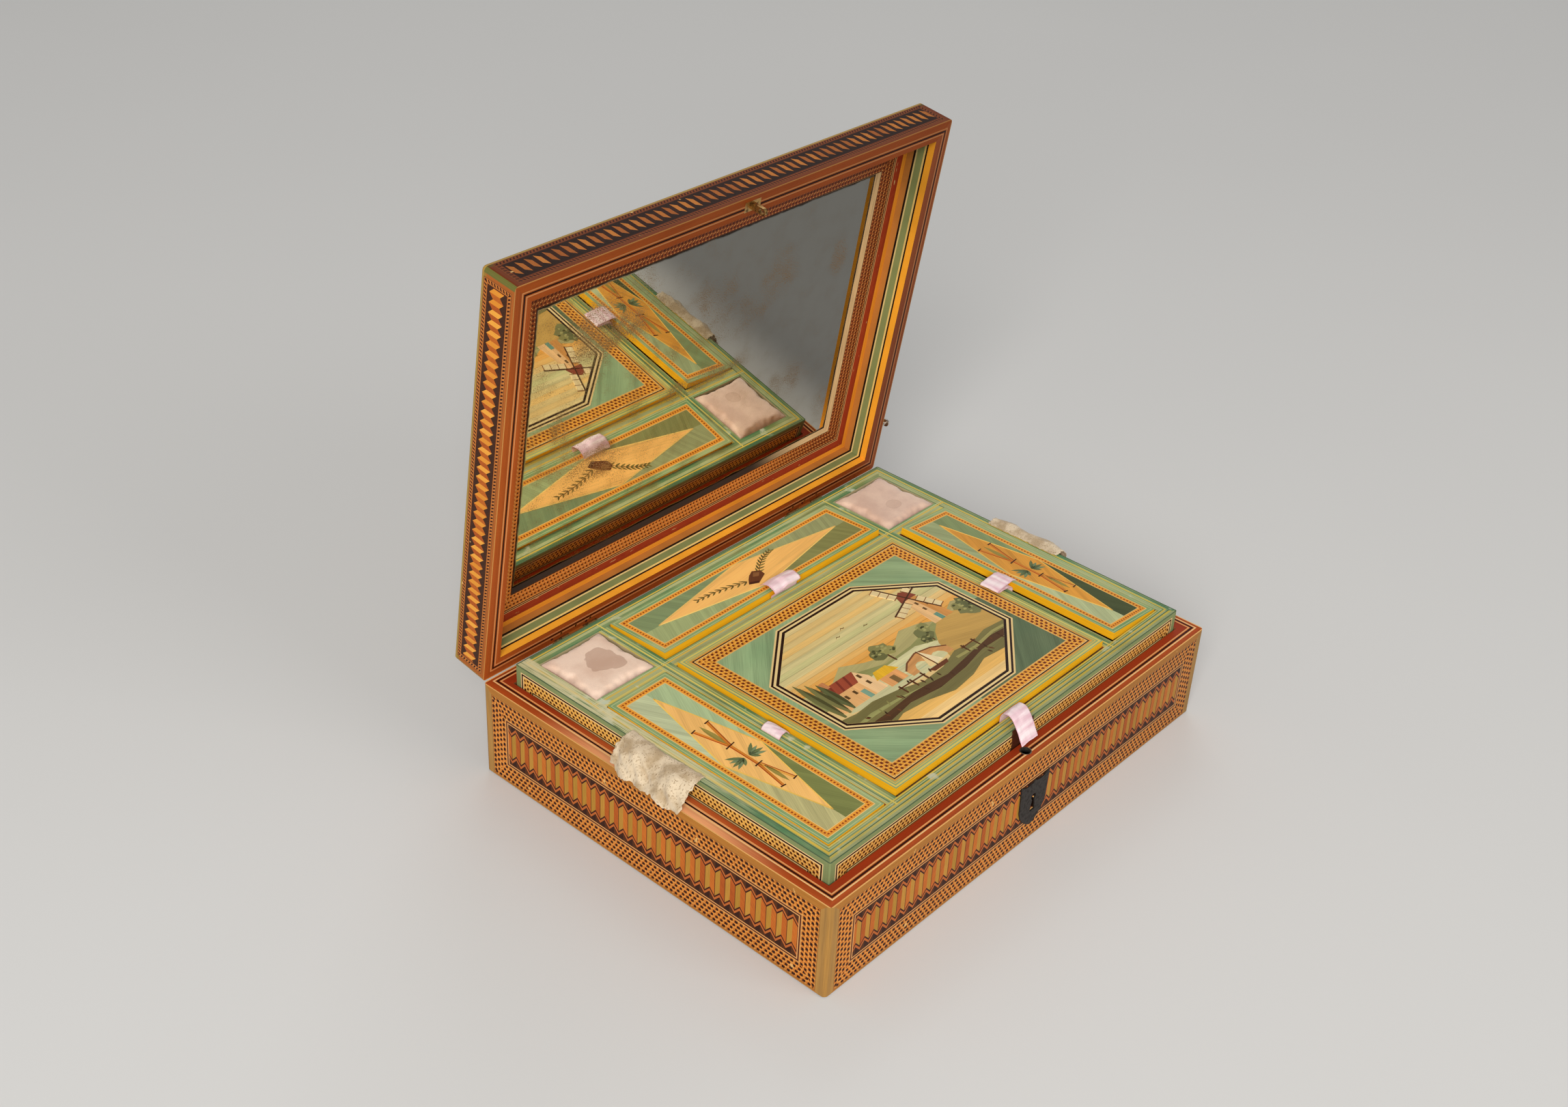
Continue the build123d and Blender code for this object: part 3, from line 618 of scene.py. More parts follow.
def paint(material, *names):
    """Put a material on pieces of the CAD."""
    for name in names:
        materials = nodes[name].data.materials
        materials.clear()
        materials.append(material)


SIDES = ("front", "back", "left", "right")
# The lid's front wall, its top edge when the lid stands open, is a darker copy of the side straw: painted
# shade.
lid_front = lid_side(
    "lid_front_straw", True, ("BC7430", "9C5622"), ("2A1006", "34180A"), "22110A", "7A3E1C",
    ("6E3418", "5E4A22"), 1.5, 0.06,
)
hinge_parts = [name for name in nodes if name.startswith("hinge_")]
lid_leaves = [name for name in hinge_parts if name.endswith("_lid_leaf")]
other_hinge_parts = [name for name in hinge_parts if name not in lid_leaves]
paint(case_side("case_front_straw", True), "case_front_wall", "case_back_wall")
paint(case_side("case_side_straw", False), "case_left_wall", "case_right_wall")
paint(lid_front, "lid_front_wall")
paint(lid_side("lid_back_straw", True), "lid_back_wall", *lid_leaves)
paint(lid_side("lid_side_straw", False), "lid_left_wall", "lid_right_wall")
paint(lid_cover("lid_cover_straw"), "lid_panel")
paint(recess_frame("mirror_frame_straw"), *["mirror_frame_" + side for side in SIDES])
paint(mirror_coat(), "mirror_glass")
paint(
    tray_board("tray_straw"), *["tray_%s_wall" % side for side in SIDES],
    *["tray_divider_" + place for place in ("left", "right", "middle", "ends")],
)
paint(
    wood("plain_wood", "8A6238"), "case_base", "tray_rest_strips", "tray_ledges", "mirror_backing",
    "pincushion_board_left", "pincushion_board_right",
)
paint(wood("dark_wood", "5C3A22"), "tray_base")
paint(linen(), *[name for name in nodes if name.endswith("hinge_linen")])
paint(metal("brass", "B8935A", 0.25, "5A4528"), "lid_staple", *other_hinge_parts)
paint(metal("lock_steel", "6E6A64", 0.35, "3F332A"), "lock_body", "lock_cover", "lock_bolt")
paint(metal("dark_iron", "3A3633", 0.5, "221D1A", 0.6), "escutcheon")
paint(metal("worn_iron", "A79C8C", 0.3, "5A4E40"), "lock_hole_rim")
paint(metal("bright_knob", "D8CEC2", 0.2, "6A5A4C"), "lid_side_stud")
for which, *looks in (
    ("back", (-91.0, 91.0), (60.2, 103.0), ("84966A", "9CA070", "A6B27C", "8A8A54")),
    ("left", (-143.0, -100.7), (-103.0, 50.5), ("C4CCA2", "B2C696", "C0B880", "80864C")),
    ("right", (100.7, 143.0), (-103.0, 50.5), ("A2AC7C", "8A9A68", "BCC492", "4C5634")),
    ("centre", (-91.0, 91.0), (-102.3, 50.5)),
):
    paint(small_lid(which + "_lid_straw", *looks), which + "_lid")


# Shapes that are added to the CAD
def link(name, data, **props):
    """An object in the scene that shows a mesh, a lamp or a camera."""
    obj = assign(bpy.data.objects.new(name, data), **props)
    bpy.context.scene.collection.objects.link(obj)
    return obj


def new_object(name, verts, faces, material, smooth=True):
    """A mesh object from points in millimetres."""
    mesh = bpy.data.meshes.new(name)
    mesh.from_pydata([(x / 1000, y / 1000, z / 1000) for x, y, z in verts], [], faces)
    mesh.materials.append(material)
    mesh.polygons.foreach_set("use_smooth", [smooth] * len(mesh.polygons))
    mesh.update()
    return link(name, mesh)


def grid_faces(rows, cols):
    """Quads over points that are listed row by row."""
    starts = [i * cols + k for i in range(rows - 1) for k in range(cols - 1)]
    return [(a, a + 1, a + cols + 1, a + cols) for a in starts]


def attribute(obj, name, kind, domain, field, values):
    """Give each point or corner of a mesh a value that its material reads."""
    data = obj.data.attributes.new(name, kind, domain).data
    for item, value in zip(data, values):
        setattr(item, field, value)


def from_hinge(which, u, t, z):
    """A point given outwards from a small lid's hinge, along it, and over the tray's top."""
    hx, hy = FLAPS[which]["hinge"]
    a = math.radians(FLAPS[which]["turn"])
    return (hx + u * math.cos(a) - t * math.sin(a), hy + u * math.sin(a) + t * math.cos(a), TRAY_Z + z)


def lid_height(which, u):
    """Height of a small lid's upper face over the tray's top."""
    lid = FLAPS[which]
    tilt = math.asin(lid["lift"] / (lid["reach"] - SLOT))
    return lid["proud"] / math.cos(tilt) + u * math.tan(tilt)


def curve_points(points, steps=9):
    """A smooth line through points, with the distance along it."""
    points = [points[0], *points, points[-1]]
    out = []
    for four in zip(points, points[1:], points[2:], points[3:]):
        for k in range(steps):
            t = k / steps
            out.append(tuple(
                0.5 * (2 * b + (c - a) * t + (2 * a - 5 * b + 4 * c - d) * t * t
                       + (3 * b - a - 3 * c + d) * t ** 3)
                for a, b, c, d in zip(*four)
            ))
    out.append(points[-1])
    length = [0.0]
    for p, q in zip(out, out[1:]):
        length.append(length[-1] + math.dist(p, q))
    return out, length


def modifier(obj, kind, **props):
    return assign(obj.modifiers.new(kind.lower(), kind), **props)


def settle(obj):
    """Put the modifiers' result into the mesh."""
    bpy.context.view_layer.update()
    shape = bpy.data.meshes.new_from_object(obj.evaluated_get(bpy.context.evaluated_depsgraph_get()))
    old = obj.data
    obj.modifiers.clear()
    obj.data = shape
    bpy.data.meshes.remove(old)


def round_off(obj, thickness=None):
    """Smooth a shape. A sheet gets its thickness first."""
    if thickness:
        modifier(obj, "SOLIDIFY", thickness=thickness, offset=0.0)
    modifier(obj, "SUBSURF", levels=1, render_levels=1)
    settle(obj)


def pink_silk():
    """Ribbon satin with a fine weave and firm edges, by the place along and across the strip."""
    g = Graph(
        "pink_ribbon", Roughness=0.36, Sheen_Weight=0.35, Sheen_Roughness=0.35,
        Sheen_Tint=(1.0, 0.9, 0.93, 1.0), Specular_IOR_Level=0.6,
    )
    along, across, _ = g.split(g.attribute("weave"))
    light, shadow, weave = "FBE8EA", "E2B4C0", 3.2
    rib = ((along * weave).fract() - 0.5) * 0.5 + ((across * weave * 1.6).fract() - 0.5) * 0.25
    soft = g.noise(along * 0.25, across * 0.25, 2.0, detail=3.0)
    streak = g.noise(along * 0.06, across * 2.5, 6.0)
    color = g.shade(g.mix(g.smooth(soft, 0.35, 0.7), light, shadow), streak * 0.3 + 0.85)
    return g.finish(g.mix(abs(across) > 0.93, color, shadow), rib + streak * 0.4, 0.3, 0.00008)


pink = pink_silk()


def ribbon(which, path, width, shift, lift):
    """A silk pull: a strip that follows a path out of the slot beside its lid."""
    line, run = curve_points(path)
    rows, cols = len(line), 15
    slot = FLAPS[which]["reach"] - SLOT / 2
    verts, places = [], []
    for i, (u, z) in enumerate(line):
        for k in range(cols):
            t = k / (cols - 1) * 2 - 1
            bow = 0.16 * (1 - t * t) + 0.1 * math.sin(i * 0.5 + k * 0.9)
            up = z + lift(t, i / (rows - 1)) + bow * min(1.0, i / 8)
            verts.append(from_hinge(which, slot + u + 0.06 * math.sin(k * 0.8), shift + t * width / 2, up))
            places.append((run[i], t, 0.0))
    obj = new_object(which + "_pull", verts, grid_faces(rows, cols), pink)
    attribute(obj, "weave", "FLOAT_VECTOR", "POINT", "vector", places)
    round_off(obj, 0.00032)
    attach(obj, which + "_lid")
    run[-1] / 1000
    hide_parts(which + "_ribbon")
    return obj


def back_crease(t, s):
    """The wide ribbon stands higher on one side of its crease."""
    high = 1.15 if t > -0.1 else (0.0 if t < -0.2 else 0.6)
    return high * math.sin(math.pi * min(1.0, s * 1.1)) - 0.5 * s * abs(t)


ribbon("left", [
    (0.0, -3.6), (0.0, -1.2), (0.15, 1.3), (1.6, 2.7), (3.7, 3.35), (5.9, 2.8), (7.4, 1.5), (7.9, 0.5),
], 13.0, 0.6, lambda t, s: -0.25 * t * t * s)
ribbon("right", [
    (0.0, -3.3), (0.0, -0.6), (0.3, 2.0), (3.0, 3.7), (7.5, 4.45), (12.2, 4.5), (14.6, 4.95), (14.4, 6.0),
    (11.5, 6.5), (7.0, 6.9), (2.0, 7.2), (-0.8, 6.7), (-3.2, 5.4),
], 13.0, 0.7, lambda t, s: 0.5 * s * (t * 0.6))
back_pull = ribbon("back", [
    (0.0, -2.8), (0.0, -0.6), (0.5, 1.5), (2.4, 3.0), (2.6, 4.6), (0.4, 6.1), (-3.0, 7.0), (-6.4, 6.2),
    (-9.0, 4.2),
], 22.0, 5.0, back_crease)
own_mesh(back_pull)
centre_pull = ribbon("centre", [
    (0.0, -1.6), (0.0, 1.0), (0.2, 3.6), (1.4, 5.7), (4.0, 6.7), (7.2, 5.7), (9.6, 2.8), (11.8, -0.6),
    (13.8, -4.4), (15.8, -8.3),
], 14.5, 2.0, lambda t, s: 0.5 * s * (1 - t * t))
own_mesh(centre_pull)


def old_silk():
    """Frayed cream silk, creased, with greyer patches placed by noise as painted shade."""
    g = Graph("cream_silk", Roughness=0.8, Sheen_Weight=0.3)
    x, y, z = g.xyz()
    weave = ((y * 2.4).fract() - 0.5) * 0.6 + (((z + x) * 2.4).fract() - 0.5) * 0.6
    cloud = g.noise(x * 0.12, y * 0.12, z * 0.12, detail=5.0)
    thread = g.noise(x * 1.2, y * 1.2, z * 0.3, detail=4.0)
    color = g.mix(g.smooth(cloud, 0.38, 0.66), "DFCBAC", "B59C78")
    color = g.mix(g.smooth(thread, 0.54, 0.7), color, "9C8260")
    return g.finish(g.shade(color, weave * 0.12 + 1.0), thread + weave * 0.3, 0.55, 0.0003)


cream = old_silk()


def torn_tab(side, sign, seed, y0, y1, sections):
    """A torn tab glued on the tray's end: it sweeps over the edge, creased, with a ragged hem."""
    rows, cols = 34, 64
    rng = random.Random(seed)
    # Each wave has its number across and along the tab, its start and its height
    spans = ((0.15, 0.9), (0.15, 0.9), (0, 6.28), (0.15, 0.5))
    waves = [[rng.uniform(*span) for span in spans] for _ in range(9)]
    hem = [rng.uniform(-1.0, 1.0) for _ in range(cols)]
    side_jag = [rng.uniform(-0.7, 0.7) for _ in range(rows)]
    verts = []
    for k in range(cols):
        f = k / (cols - 1)
        y = y0 + (y1 - y0) * f
        place = f * (len(sections) - 1)
        i = min(int(place), len(sections) - 2)
        w = place - i
        w = w * w * (3 - 2 * w)
        near, far = sections[i:i + 2]
        path = [tuple(a * (1 - w) + b * w for a, b in zip(p, q)) for p, q in zip(near, far)]
        line, run = curve_points(path, 12)
        notch = 1.6 * max(0.0, math.sin(f * 23.0)) ** 6
        total = run[-1] + hem[k] * 0.8 + 1.1 * math.sin(f * 9.0) - notch
        for r in range(rows):
            want = total * r / (rows - 1)
            j = max(n for n in range(len(run) - 1) if run[n] <= want or n == 0)
            h = (want - run[j]) / max(1e-6, run[j + 1] - run[j])
            out, drop = [a + (b - a) * h for a, b in zip(line[j], line[j + 1])]
            free = min(1.0, max(0.0, (want - 6.0) / 7.0))
            crease = sum(amp * math.sin(a * y + b * want * 1.3 + ph) for a, b, ph, amp in waves) * free * 1.05
            jag = side_jag[r] if min(f, 1 - f) < 0.01 else 0.0
            lip = hem[k] * 0.6 if r == 0 else 0.0
            verts.append((
                sign * (TRAY_X + out + lip + crease * 0.7), y + jag + 0.25 * math.sin(want * 1.7 + k),
                TRAY_Z + drop + crease * 0.55 * (free > 0.05),
            ))
    obj = new_object("torn_tab_" + side, verts, grid_faces(cols, rows), cream)
    round_off(obj, 0.0005)
    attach(obj, "tray")
    length = sum(curve_points(s, 12)[1][-1] for s in sections) / len(sections)
    length / 1000
    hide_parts("tray_tab_" + side)
    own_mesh(obj)


torn_tab("left", -1, 7, 27.0, -25.5, [
    [(-5.0, 0.45), (-0.6, 0.75), (5.5, -1.6), (9.6, -6.2), (11.5, -11.2)],
    [(-4.0, 0.45), (-0.6, 0.8), (7.0, -1.0), (12.2, -6.4), (14.6, -12.8)],
    [(-3.0, 0.45), (-0.6, 0.75), (5.2, -2.6), (10.6, -8.2), (14.9, -14.2)],
    [(-3.6, 0.45), (-0.6, 0.8), (7.4, -0.8), (12.6, -6.0), (15.4, -13.6)],
    [(-4.2, 0.45), (-0.6, 0.75), (5.6, -2.4), (10.4, -7.0), (14.2, -12.4)],
])
torn_tab("right", 1, 11, -30.0, 21.0, [
    [(-4.0, 0.45), (-0.6, 0.95), (3.2, 1.1), (6.4, -2.2), (10.6, -9.4)],
    [(-4.6, 0.45), (-0.6, 1.3), (3.6, 1.8), (7.6, -1.6), (13.2, -11.0)],
    [(-3.8, 0.45), (-0.6, 1.2), (3.4, 1.5), (7.2, -2.6), (13.8, -12.6)],
    [(-4.4, 0.45), (-0.6, 1.5), (3.8, 2.0), (7.8, -1.8), (12.8, -11.4)],
    [(-4.0, 0.45), (-0.6, 1.0), (3.2, 1.2), (6.2, -2.4), (10.0, -9.8)],
])


def cushion_cover(name, light, dark, stain_x, stain_y, size, strength):
    """Faded pink silk over wool, with a brown stain."""
    g = Graph(name, Roughness=0.62, Sheen_Weight=0.45, Sheen_Roughness=0.5)
    x, y, z = g.xyz()
    cloud = g.noise(x * 0.06, y * 0.06, 2.0, detail=4.0)
    weave = ((x * 2.8).fract() - 0.5) * 0.5 + ((y * 2.8).fract() - 0.5) * 0.5
    fuzz = g.noise(x * 1.6, y * 1.6, z * 1.6, detail=3.0)
    dx, dy = (x - stain_x) / size, (y - stain_y) / size
    d = dx * dx + dy * dy + (g.noise(x * 0.09, y * 0.09, 5.0) - 0.5) * 2.6
    # rim paints the cushion darker down its sides and towards the bottom, lighter on its crown: painted shade.
    stain, ring, rim = g.smooth(d, 1.15, 0.95), g.smooth(abs(d - 1.05), 0.12, 0.0), g.smooth(z - 70.2, 2.4, 0.0)
    color = g.layers(
        g.mix(g.smooth(cloud, 0.35, 0.7), light, dark),
        (stain * (fuzz * 0.6 + 0.7) * strength, "B48A70"), (ring * 0.3, "A27860"), (rim * 0.55, "A98878"),
    )
    return g.finish(g.shade(color, fuzz * 0.2 + 0.9), fuzz + weave * 0.25, 0.35, 0.0002)


def pincushion(side, cx, material):
    """A stuffed silk cushion in its compartment, puffed by cloth simulation."""
    cy, half_x, half_y, low, high = 81.25, 21.45, 21.75, 64.0, 71.2
    middle = (low + high) / 2
    # The simulation works ten times life size, where the solver's steps suit it,
    # and no point of it may move further than this
    grow, farthest, frames = 10.0, 0.016, 24
    # Cells along each side, and from the bottom to the top
    n, m = 30, 5
    verts, faces, index = [], [], {}

    def point(i, j, layer):
        key = (i, j, layer)
        if key not in index:
            a, b, h = -1 + 2 * i / n, -1 + 2 * j / n, layer / m
            swell = 1.0 + 0.015 * math.sin(math.pi * h)
            dome = (1 - a ** 4) * (1 - b ** 4) if layer == m else 0.0
            index[key] = len(verts)
            verts.append((
                a * half_x * (1.0 - 0.01 * (1 - b * b)) * swell * grow,
                b * half_y * (1.0 - 0.01 * (1 - a * a)) * swell * grow,
                (low + (high - low) * h + dome * 1.2 - middle) * grow,
            ))
        return index[key]

    def quad(*corners):
        faces.append([point(*corner) for corner in corners])

    for i in range(n):
        for j in range(n):
            quad((i, j, m), (i + 1, j, m), (i + 1, j + 1, m), (i, j + 1, m))
            quad((i, j, 0), (i, j + 1, 0), (i + 1, j + 1, 0), (i + 1, j, 0))
    for k in range(n):
        for h in range(m):
            quad((k, 0, h), (k + 1, 0, h), (k + 1, 0, h + 1), (k, 0, h + 1))
            quad((k + 1, n, h), (k, n, h), (k, n, h + 1), (k + 1, n, h + 1))
            quad((0, k + 1, h), (0, k, h), (0, k, h + 1), (0, k + 1, h + 1))
            quad((n, k, h), (n, k + 1, h), (n, k + 1, h + 1), (n, k, h + 1))
    obj = new_object("stuffed_pincushion_" + side, verts, faces, material)
    start = [v.co.copy() for v in obj.data.vertices]
    pins = obj.vertex_groups.new(name="pins")
    pins.add([v for (_, _, layer), v in index.items() if layer < m - 1], 1.0, "REPLACE")
    cloth = modifier(obj, "CLOTH")
    assign(
        cloth.settings, quality=6, mass=0.3, tension_stiffness=12.0, compression_stiffness=12.0,
        bending_stiffness=0.3, shrink_min=-0.03, vertex_group_mass="pins", use_pressure=True,
        uniform_pressure_force=1.2,
    )
    cloth.settings.effector_weights.gravity = 0.0
    assign(cloth.point_cache, frame_start=1, frame_end=frames)
    for step in range(1, frames + 1):
        bpy.context.scene.frame_set(step)
    settle(obj)
    bpy.context.scene.frame_set(1)
    for vertex, before in zip(obj.data.vertices, start):
        move = vertex.co - before
        if move.length > farthest:
            move *= farthest / move.length
        vertex.co = (before + move) / grow + Vector((cx, cy, middle)) / 1000
    round_off(obj)
    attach(obj, "tray")
    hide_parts("pincushion_" + side)


pincushion("left", -121.5, cushion_cover("pincushion_silk_left", "F8DCC6", "E6C4AC", -118.0, 80.0, 10.5, 0.6))
pincushion("right", 121.5, cushion_cover("pincushion_silk_right", "E6C6B0", "D2AE9A", 121.0, 74.0, 4.5, 0.3))


# Pictures of cut straw on the small lids
def inlaid_straw():
    """Straw cut to shape, each piece with its own colour and lie of the grain."""
    g = straw("inlaid_straw")
    x, y, _ = g.xyz()
    c, s, _ = g.split(g.attribute("lie"))
    streak = grain(g, x * c + y * s, y * c - x * s, 2.6, 0.24)
    return g.finish(g.shade(g.attribute("tint", "Color"), streak), streak, 0.22)


inlaid = inlaid_straw()


def loop(points):
    """The sides of a closed outline."""
    return list(zip(points, points[1:] + points[:1]))


def clip(points, region):
    """The part of a polygon inside a convex region, which runs anticlockwise."""
    for (ax, ay), (bx, by) in loop(region):
        out = []
        for p, q in loop(points):
            sp, sq = [(bx - ax) * (y - ay) - (by - ay) * (x - ax) for x, y in (p, q)]
            if sp >= 0:
                out.append(p)
            if (sp >= 0) != (sq >= 0):
                t = sp / (sp - sq)
                out.append((p[0] + (q[0] - p[0]) * t, p[1] + (q[1] - p[1]) * t))
        points = out
        if len(points) < 3:
            return []
    return points


def drawn_in(outline, distance):
    """A convex outline that runs anticlockwise, moved inwards."""
    sides = []
    for (ax, ay), (bx, by) in loop(outline):
        length = math.hypot(bx - ax, by - ay)
        nx, ny = -(by - ay) / length, (bx - ax) / length
        sides.append((nx, ny, nx * ax + ny * ay + distance))
    out = []
    for (a, b, e), (c, d, f) in zip(sides[-1:] + sides, sides):
        det = a * d - b * c
        out.append(((e * d - b * f) / det, (a * f - e * c) / det))
    return out


def block(x0, y0, x1, y1):
    """A rectangle from its lower left to its upper right corner."""
    return [(x0, y0), (x1, y0), (x1, y1), (x0, y1)]


def arch(x, y, wide, tall):
    """The upper half of an ellipse, from its right end to its left."""
    turns = [math.radians(a) for a in range(0, 181, 30)]
    return [(x + wide * math.cos(a), y + tall * math.sin(a)) for a in turns]


def leaf(x, y, angle, length, width):
    """A leaf with a point at each end, from its stalk outwards."""
    c, s = math.cos(math.radians(angle)), math.sin(math.radians(angle))
    half = [(0.0, 0.12), (0.25, 0.42), (0.5, 0.5), (0.75, 0.36)]
    rim = [*half, (1.0, 0.0), *[(a, -b) for a, b in half[::-1]]]
    return [(x + a * length * c - b * width * s, y + a * length * s + b * width * c) for a, b in rim]


def heading(p, q):
    """The direction from one point to another, in degrees."""
    return math.degrees(math.atan2(q[1] - p[1], q[0] - p[0]))


def strip(x0, y0, x1, y1, w0, w1=None):
    """A straight strip of straw between two points."""
    w1 = w0 if w1 is None else w1
    length = math.hypot(x1 - x0, y1 - y0)
    nx, ny = -(y1 - y0) / length / 2, (x1 - x0) / length / 2
    return [
        (x0 + nx * w0, y0 + ny * w0), (x0 - nx * w0, y0 - ny * w0),
        (x1 - nx * w1, y1 - ny * w1), (x1 + nx * w1, y1 + ny * w1),
    ]


def blob(x, y, rx, ry, seed, n=14):
    """A rough round piece, such as a tree's crown."""
    rng = random.Random(seed)
    rough = 0.22
    out = []
    for k in range(n):
        a, r = 2 * math.pi * k / n, 1.0 + rng.uniform(-rough, rough)
        out.append((x + rx * r * math.cos(a), y + ry * r * math.sin(a)))
    return out


class Inlay:
    """Thin pieces of straw let into a small lid, as one mesh."""

    def __init__(self, which, origin=(0.0, 0.0), region=None):
        self.which, self.origin, self.region = which, origin, region
        self.verts, self.faces, self.tints, self.lies = [], [], [], []

    def height(self, x, y):
        hx, hy = FLAPS[self.which]["hinge"]
        a = math.radians(FLAPS[self.which]["turn"])
        return TRAY_Z + lid_height(self.which, (x - hx) * math.cos(a) + (y - hy) * math.sin(a))

    def add(self, points, tint, lie, level):
        """One piece. Its lie is in degrees, and a higher level lies over a lower one."""
        if self.region:
            points = clip(points, self.region)
        if len(points) < 3:
            return
        points = [(x + self.origin[0], y + self.origin[1]) for x, y in points]
        if sum(p[0] * q[1] - q[0] * p[1] for p, q in loop(points)) < 0:
            points.reverse()
        n, base = len(points), len(self.verts)
        over, under = 0.03 + 0.03 * level, -0.15
        for up in (over, under):
            self.verts += [(x, y, self.height(x, y) + up) for x, y in points]
        self.faces.append(tuple(range(base, base + n)))
        self.faces.append(tuple(range(base + 2 * n - 1, base + n - 1, -1)))
        for k in range(n):
            m = (k + 1) % n
            self.faces.append((base + k, base + n + k, base + n + m, base + m))
        a = math.radians(lie)
        self.tints += [rgb(tint)] * (n + 2)
        self.lies += [(math.cos(a), math.sin(a), 0.0)] * (n + 2)

    def lozenge(self, points, tint, edge, lie):
        """A lozenge with a strip along each side."""
        self.add(points, tint, lie, 1)
        for p, q in loop(points):
            self.add(strip(*p, *q, 0.75), edge, heading(p, q), 2)

    def spray(self, start, travel, bend, way, spread, leaf_size, lie, tints, stalk, stalk_tint):
        """Nine pairs of leaves, each pair longer than the one before, along a bent line."""
        length, growth, width = leaf_size
        for k in range(9):
            f = k / 8
            x, y = start[0] + travel[0] * f, start[1] + travel[1] * f + bend * math.sin(3.1 * f)
            for turn in (-spread, spread):
                self.add(leaf(x, y, way + turn, length + growth * f, width), tints[k % 2], lie, 3)
            if k:
                self.add(strip(x + stalk[0], y + stalk[1], x, y, 0.45), stalk_tint, lie, 4)

    def make(self, name):
        obj = new_object(name, self.verts, self.faces, inlaid, smooth=False)
        sizes = [len(face) for face in self.faces]
        for key, kind, field, values in (
            ("tint", "FLOAT_COLOR", "color", self.tints), ("lie", "FLOAT_VECTOR", "vector", self.lies),
        ):
            corners = [value for value, size in zip(values, sizes) for _ in range(size)]
            attribute(obj, key, kind, "CORNER", field, corners)
        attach(obj, self.which + "_lid")


def cane_motif(which, cx, bottom, tint, leaf_tints):
    """Crossed bamboo canes with leaves in a golden lozenge."""
    inlay = Inlay(which, (cx, 0.0))
    inlay.lozenge([(-13.9, -26.0), (0.0, bottom), (13.9, -26.0), (0.0, 38.0)], tint, "F6C65E", 62)
    for x0, y0, x1, y1, tone, shift in (
        (-5.2, 3.0, -0.2, -18.0, "D9852F", -0.65), (5.6, 4.0, 0.2, -18.0, "D9852F", 0.75),
        (0.0, -18.0, -0.2, -38.0, "D9852F", -0.65), (-0.3, -38.0, -3.7, -58.0, "D9852F", -0.65),
        (0.6, -38.0, 5.2, -58.0, "E2A347", 0.75),
    ):
        lie = heading((x0, y0), (x1, y1))
        inlay.add(strip(x0, y0, x1, y1, 2.0, 1.8), tone, lie, 3)
        inlay.add(strip(x0 + shift, y0, x1 + shift, y1, 0.55), "A8461C", lie, 4)
    for x, y, wide, tilt in (
        (-5.2, 3.6, 3.6, 12), (5.6, 4.4, 3.6, 8), (0.2, -17.6, 7.2, 9), (0.2, -37.6, 5.8, 6),
        (-3.9, -58.2, 3.4, -6), (5.2, -58.0, 3.4, 10),
    ):
        dx, dy = wide / 2 * math.cos(math.radians(tilt)), wide / 2 * math.sin(math.radians(tilt))
        inlay.add(strip(x - dx, y - dy, x + dx, y + dy, 0.9, 0.6), "3E2414", tilt, 5)
    for base, start, sense in ((-2.2, 180, -1), (1.8, 0, 1)):
        for k, (angle, length) in enumerate(((38, 10.0), (16, 8.6), (-6, 9.4), (-26, 9.6), (-52, 6.2))):
            way = start + sense * angle
            inlay.add(leaf(base, -29.5, way, length, 2.3), leaf_tints[k % 2], way, 3)
    inlay.add(leaf(0.0, -15.5, 90, 20.0, 3.4), "9A8A44", 90, 3)
    inlay.add(leaf(1.2, -40.5, -90, 17.5, 2.7), "9A8A44", 90, 3)
    inlay.make(which + "_lid_inlay")


cane_motif("left", -121.85, -87.5, "F7C070", ("6F7B4E", "7F8F66"))
cane_motif("right", 121.85, -88.0, "E39E3E", ("66724A", "778860"))

sprays = Inlay("back")
sprays.lozenge([(-74.0, 82.0), (1.0, 67.3), (76.0, 82.0), (1.0, 95.8)], "F7BE6C", "F8CE74", 8)
sprays.spray(
    (-40.0, 84.0), (33.0, -6.5), 1.5, 170, 33, (3.6, 1.6, 1.1), 170,
    ("66582C", "7C6A34"), (-4.2, 0.8), "6B4A20",
)
sprays.spray(
    (27.0, 91.0), (-22.0, -11.0), 2.0, 27, 34, (3.4, 1.7, 1.2), 30,
    ("807238", "6A6030"), (3.0, 1.4), "5F421E",
)
sprays.add(
    [(-8.5, 74.5), (-3.0, 71.6), (6.4, 76.0), (7.4, 80.4), (3.0, 83.2), (-1.5, 81.0), (-5.0, 78.2)],
    "6A3A20", 40, 5,
)
sprays.add([(-8.5, 74.5), (-3.0, 71.6), (-1.6, 73.2), (-6.6, 76.0)], "4A2416", 40, 6)
sprays.add([(-1.0, 78.6), (2.6, 81.6), (5.4, 79.4), (2.2, 76.8)], "8A5A34", 20, 6)
sprays.make("back_lid_inlay")


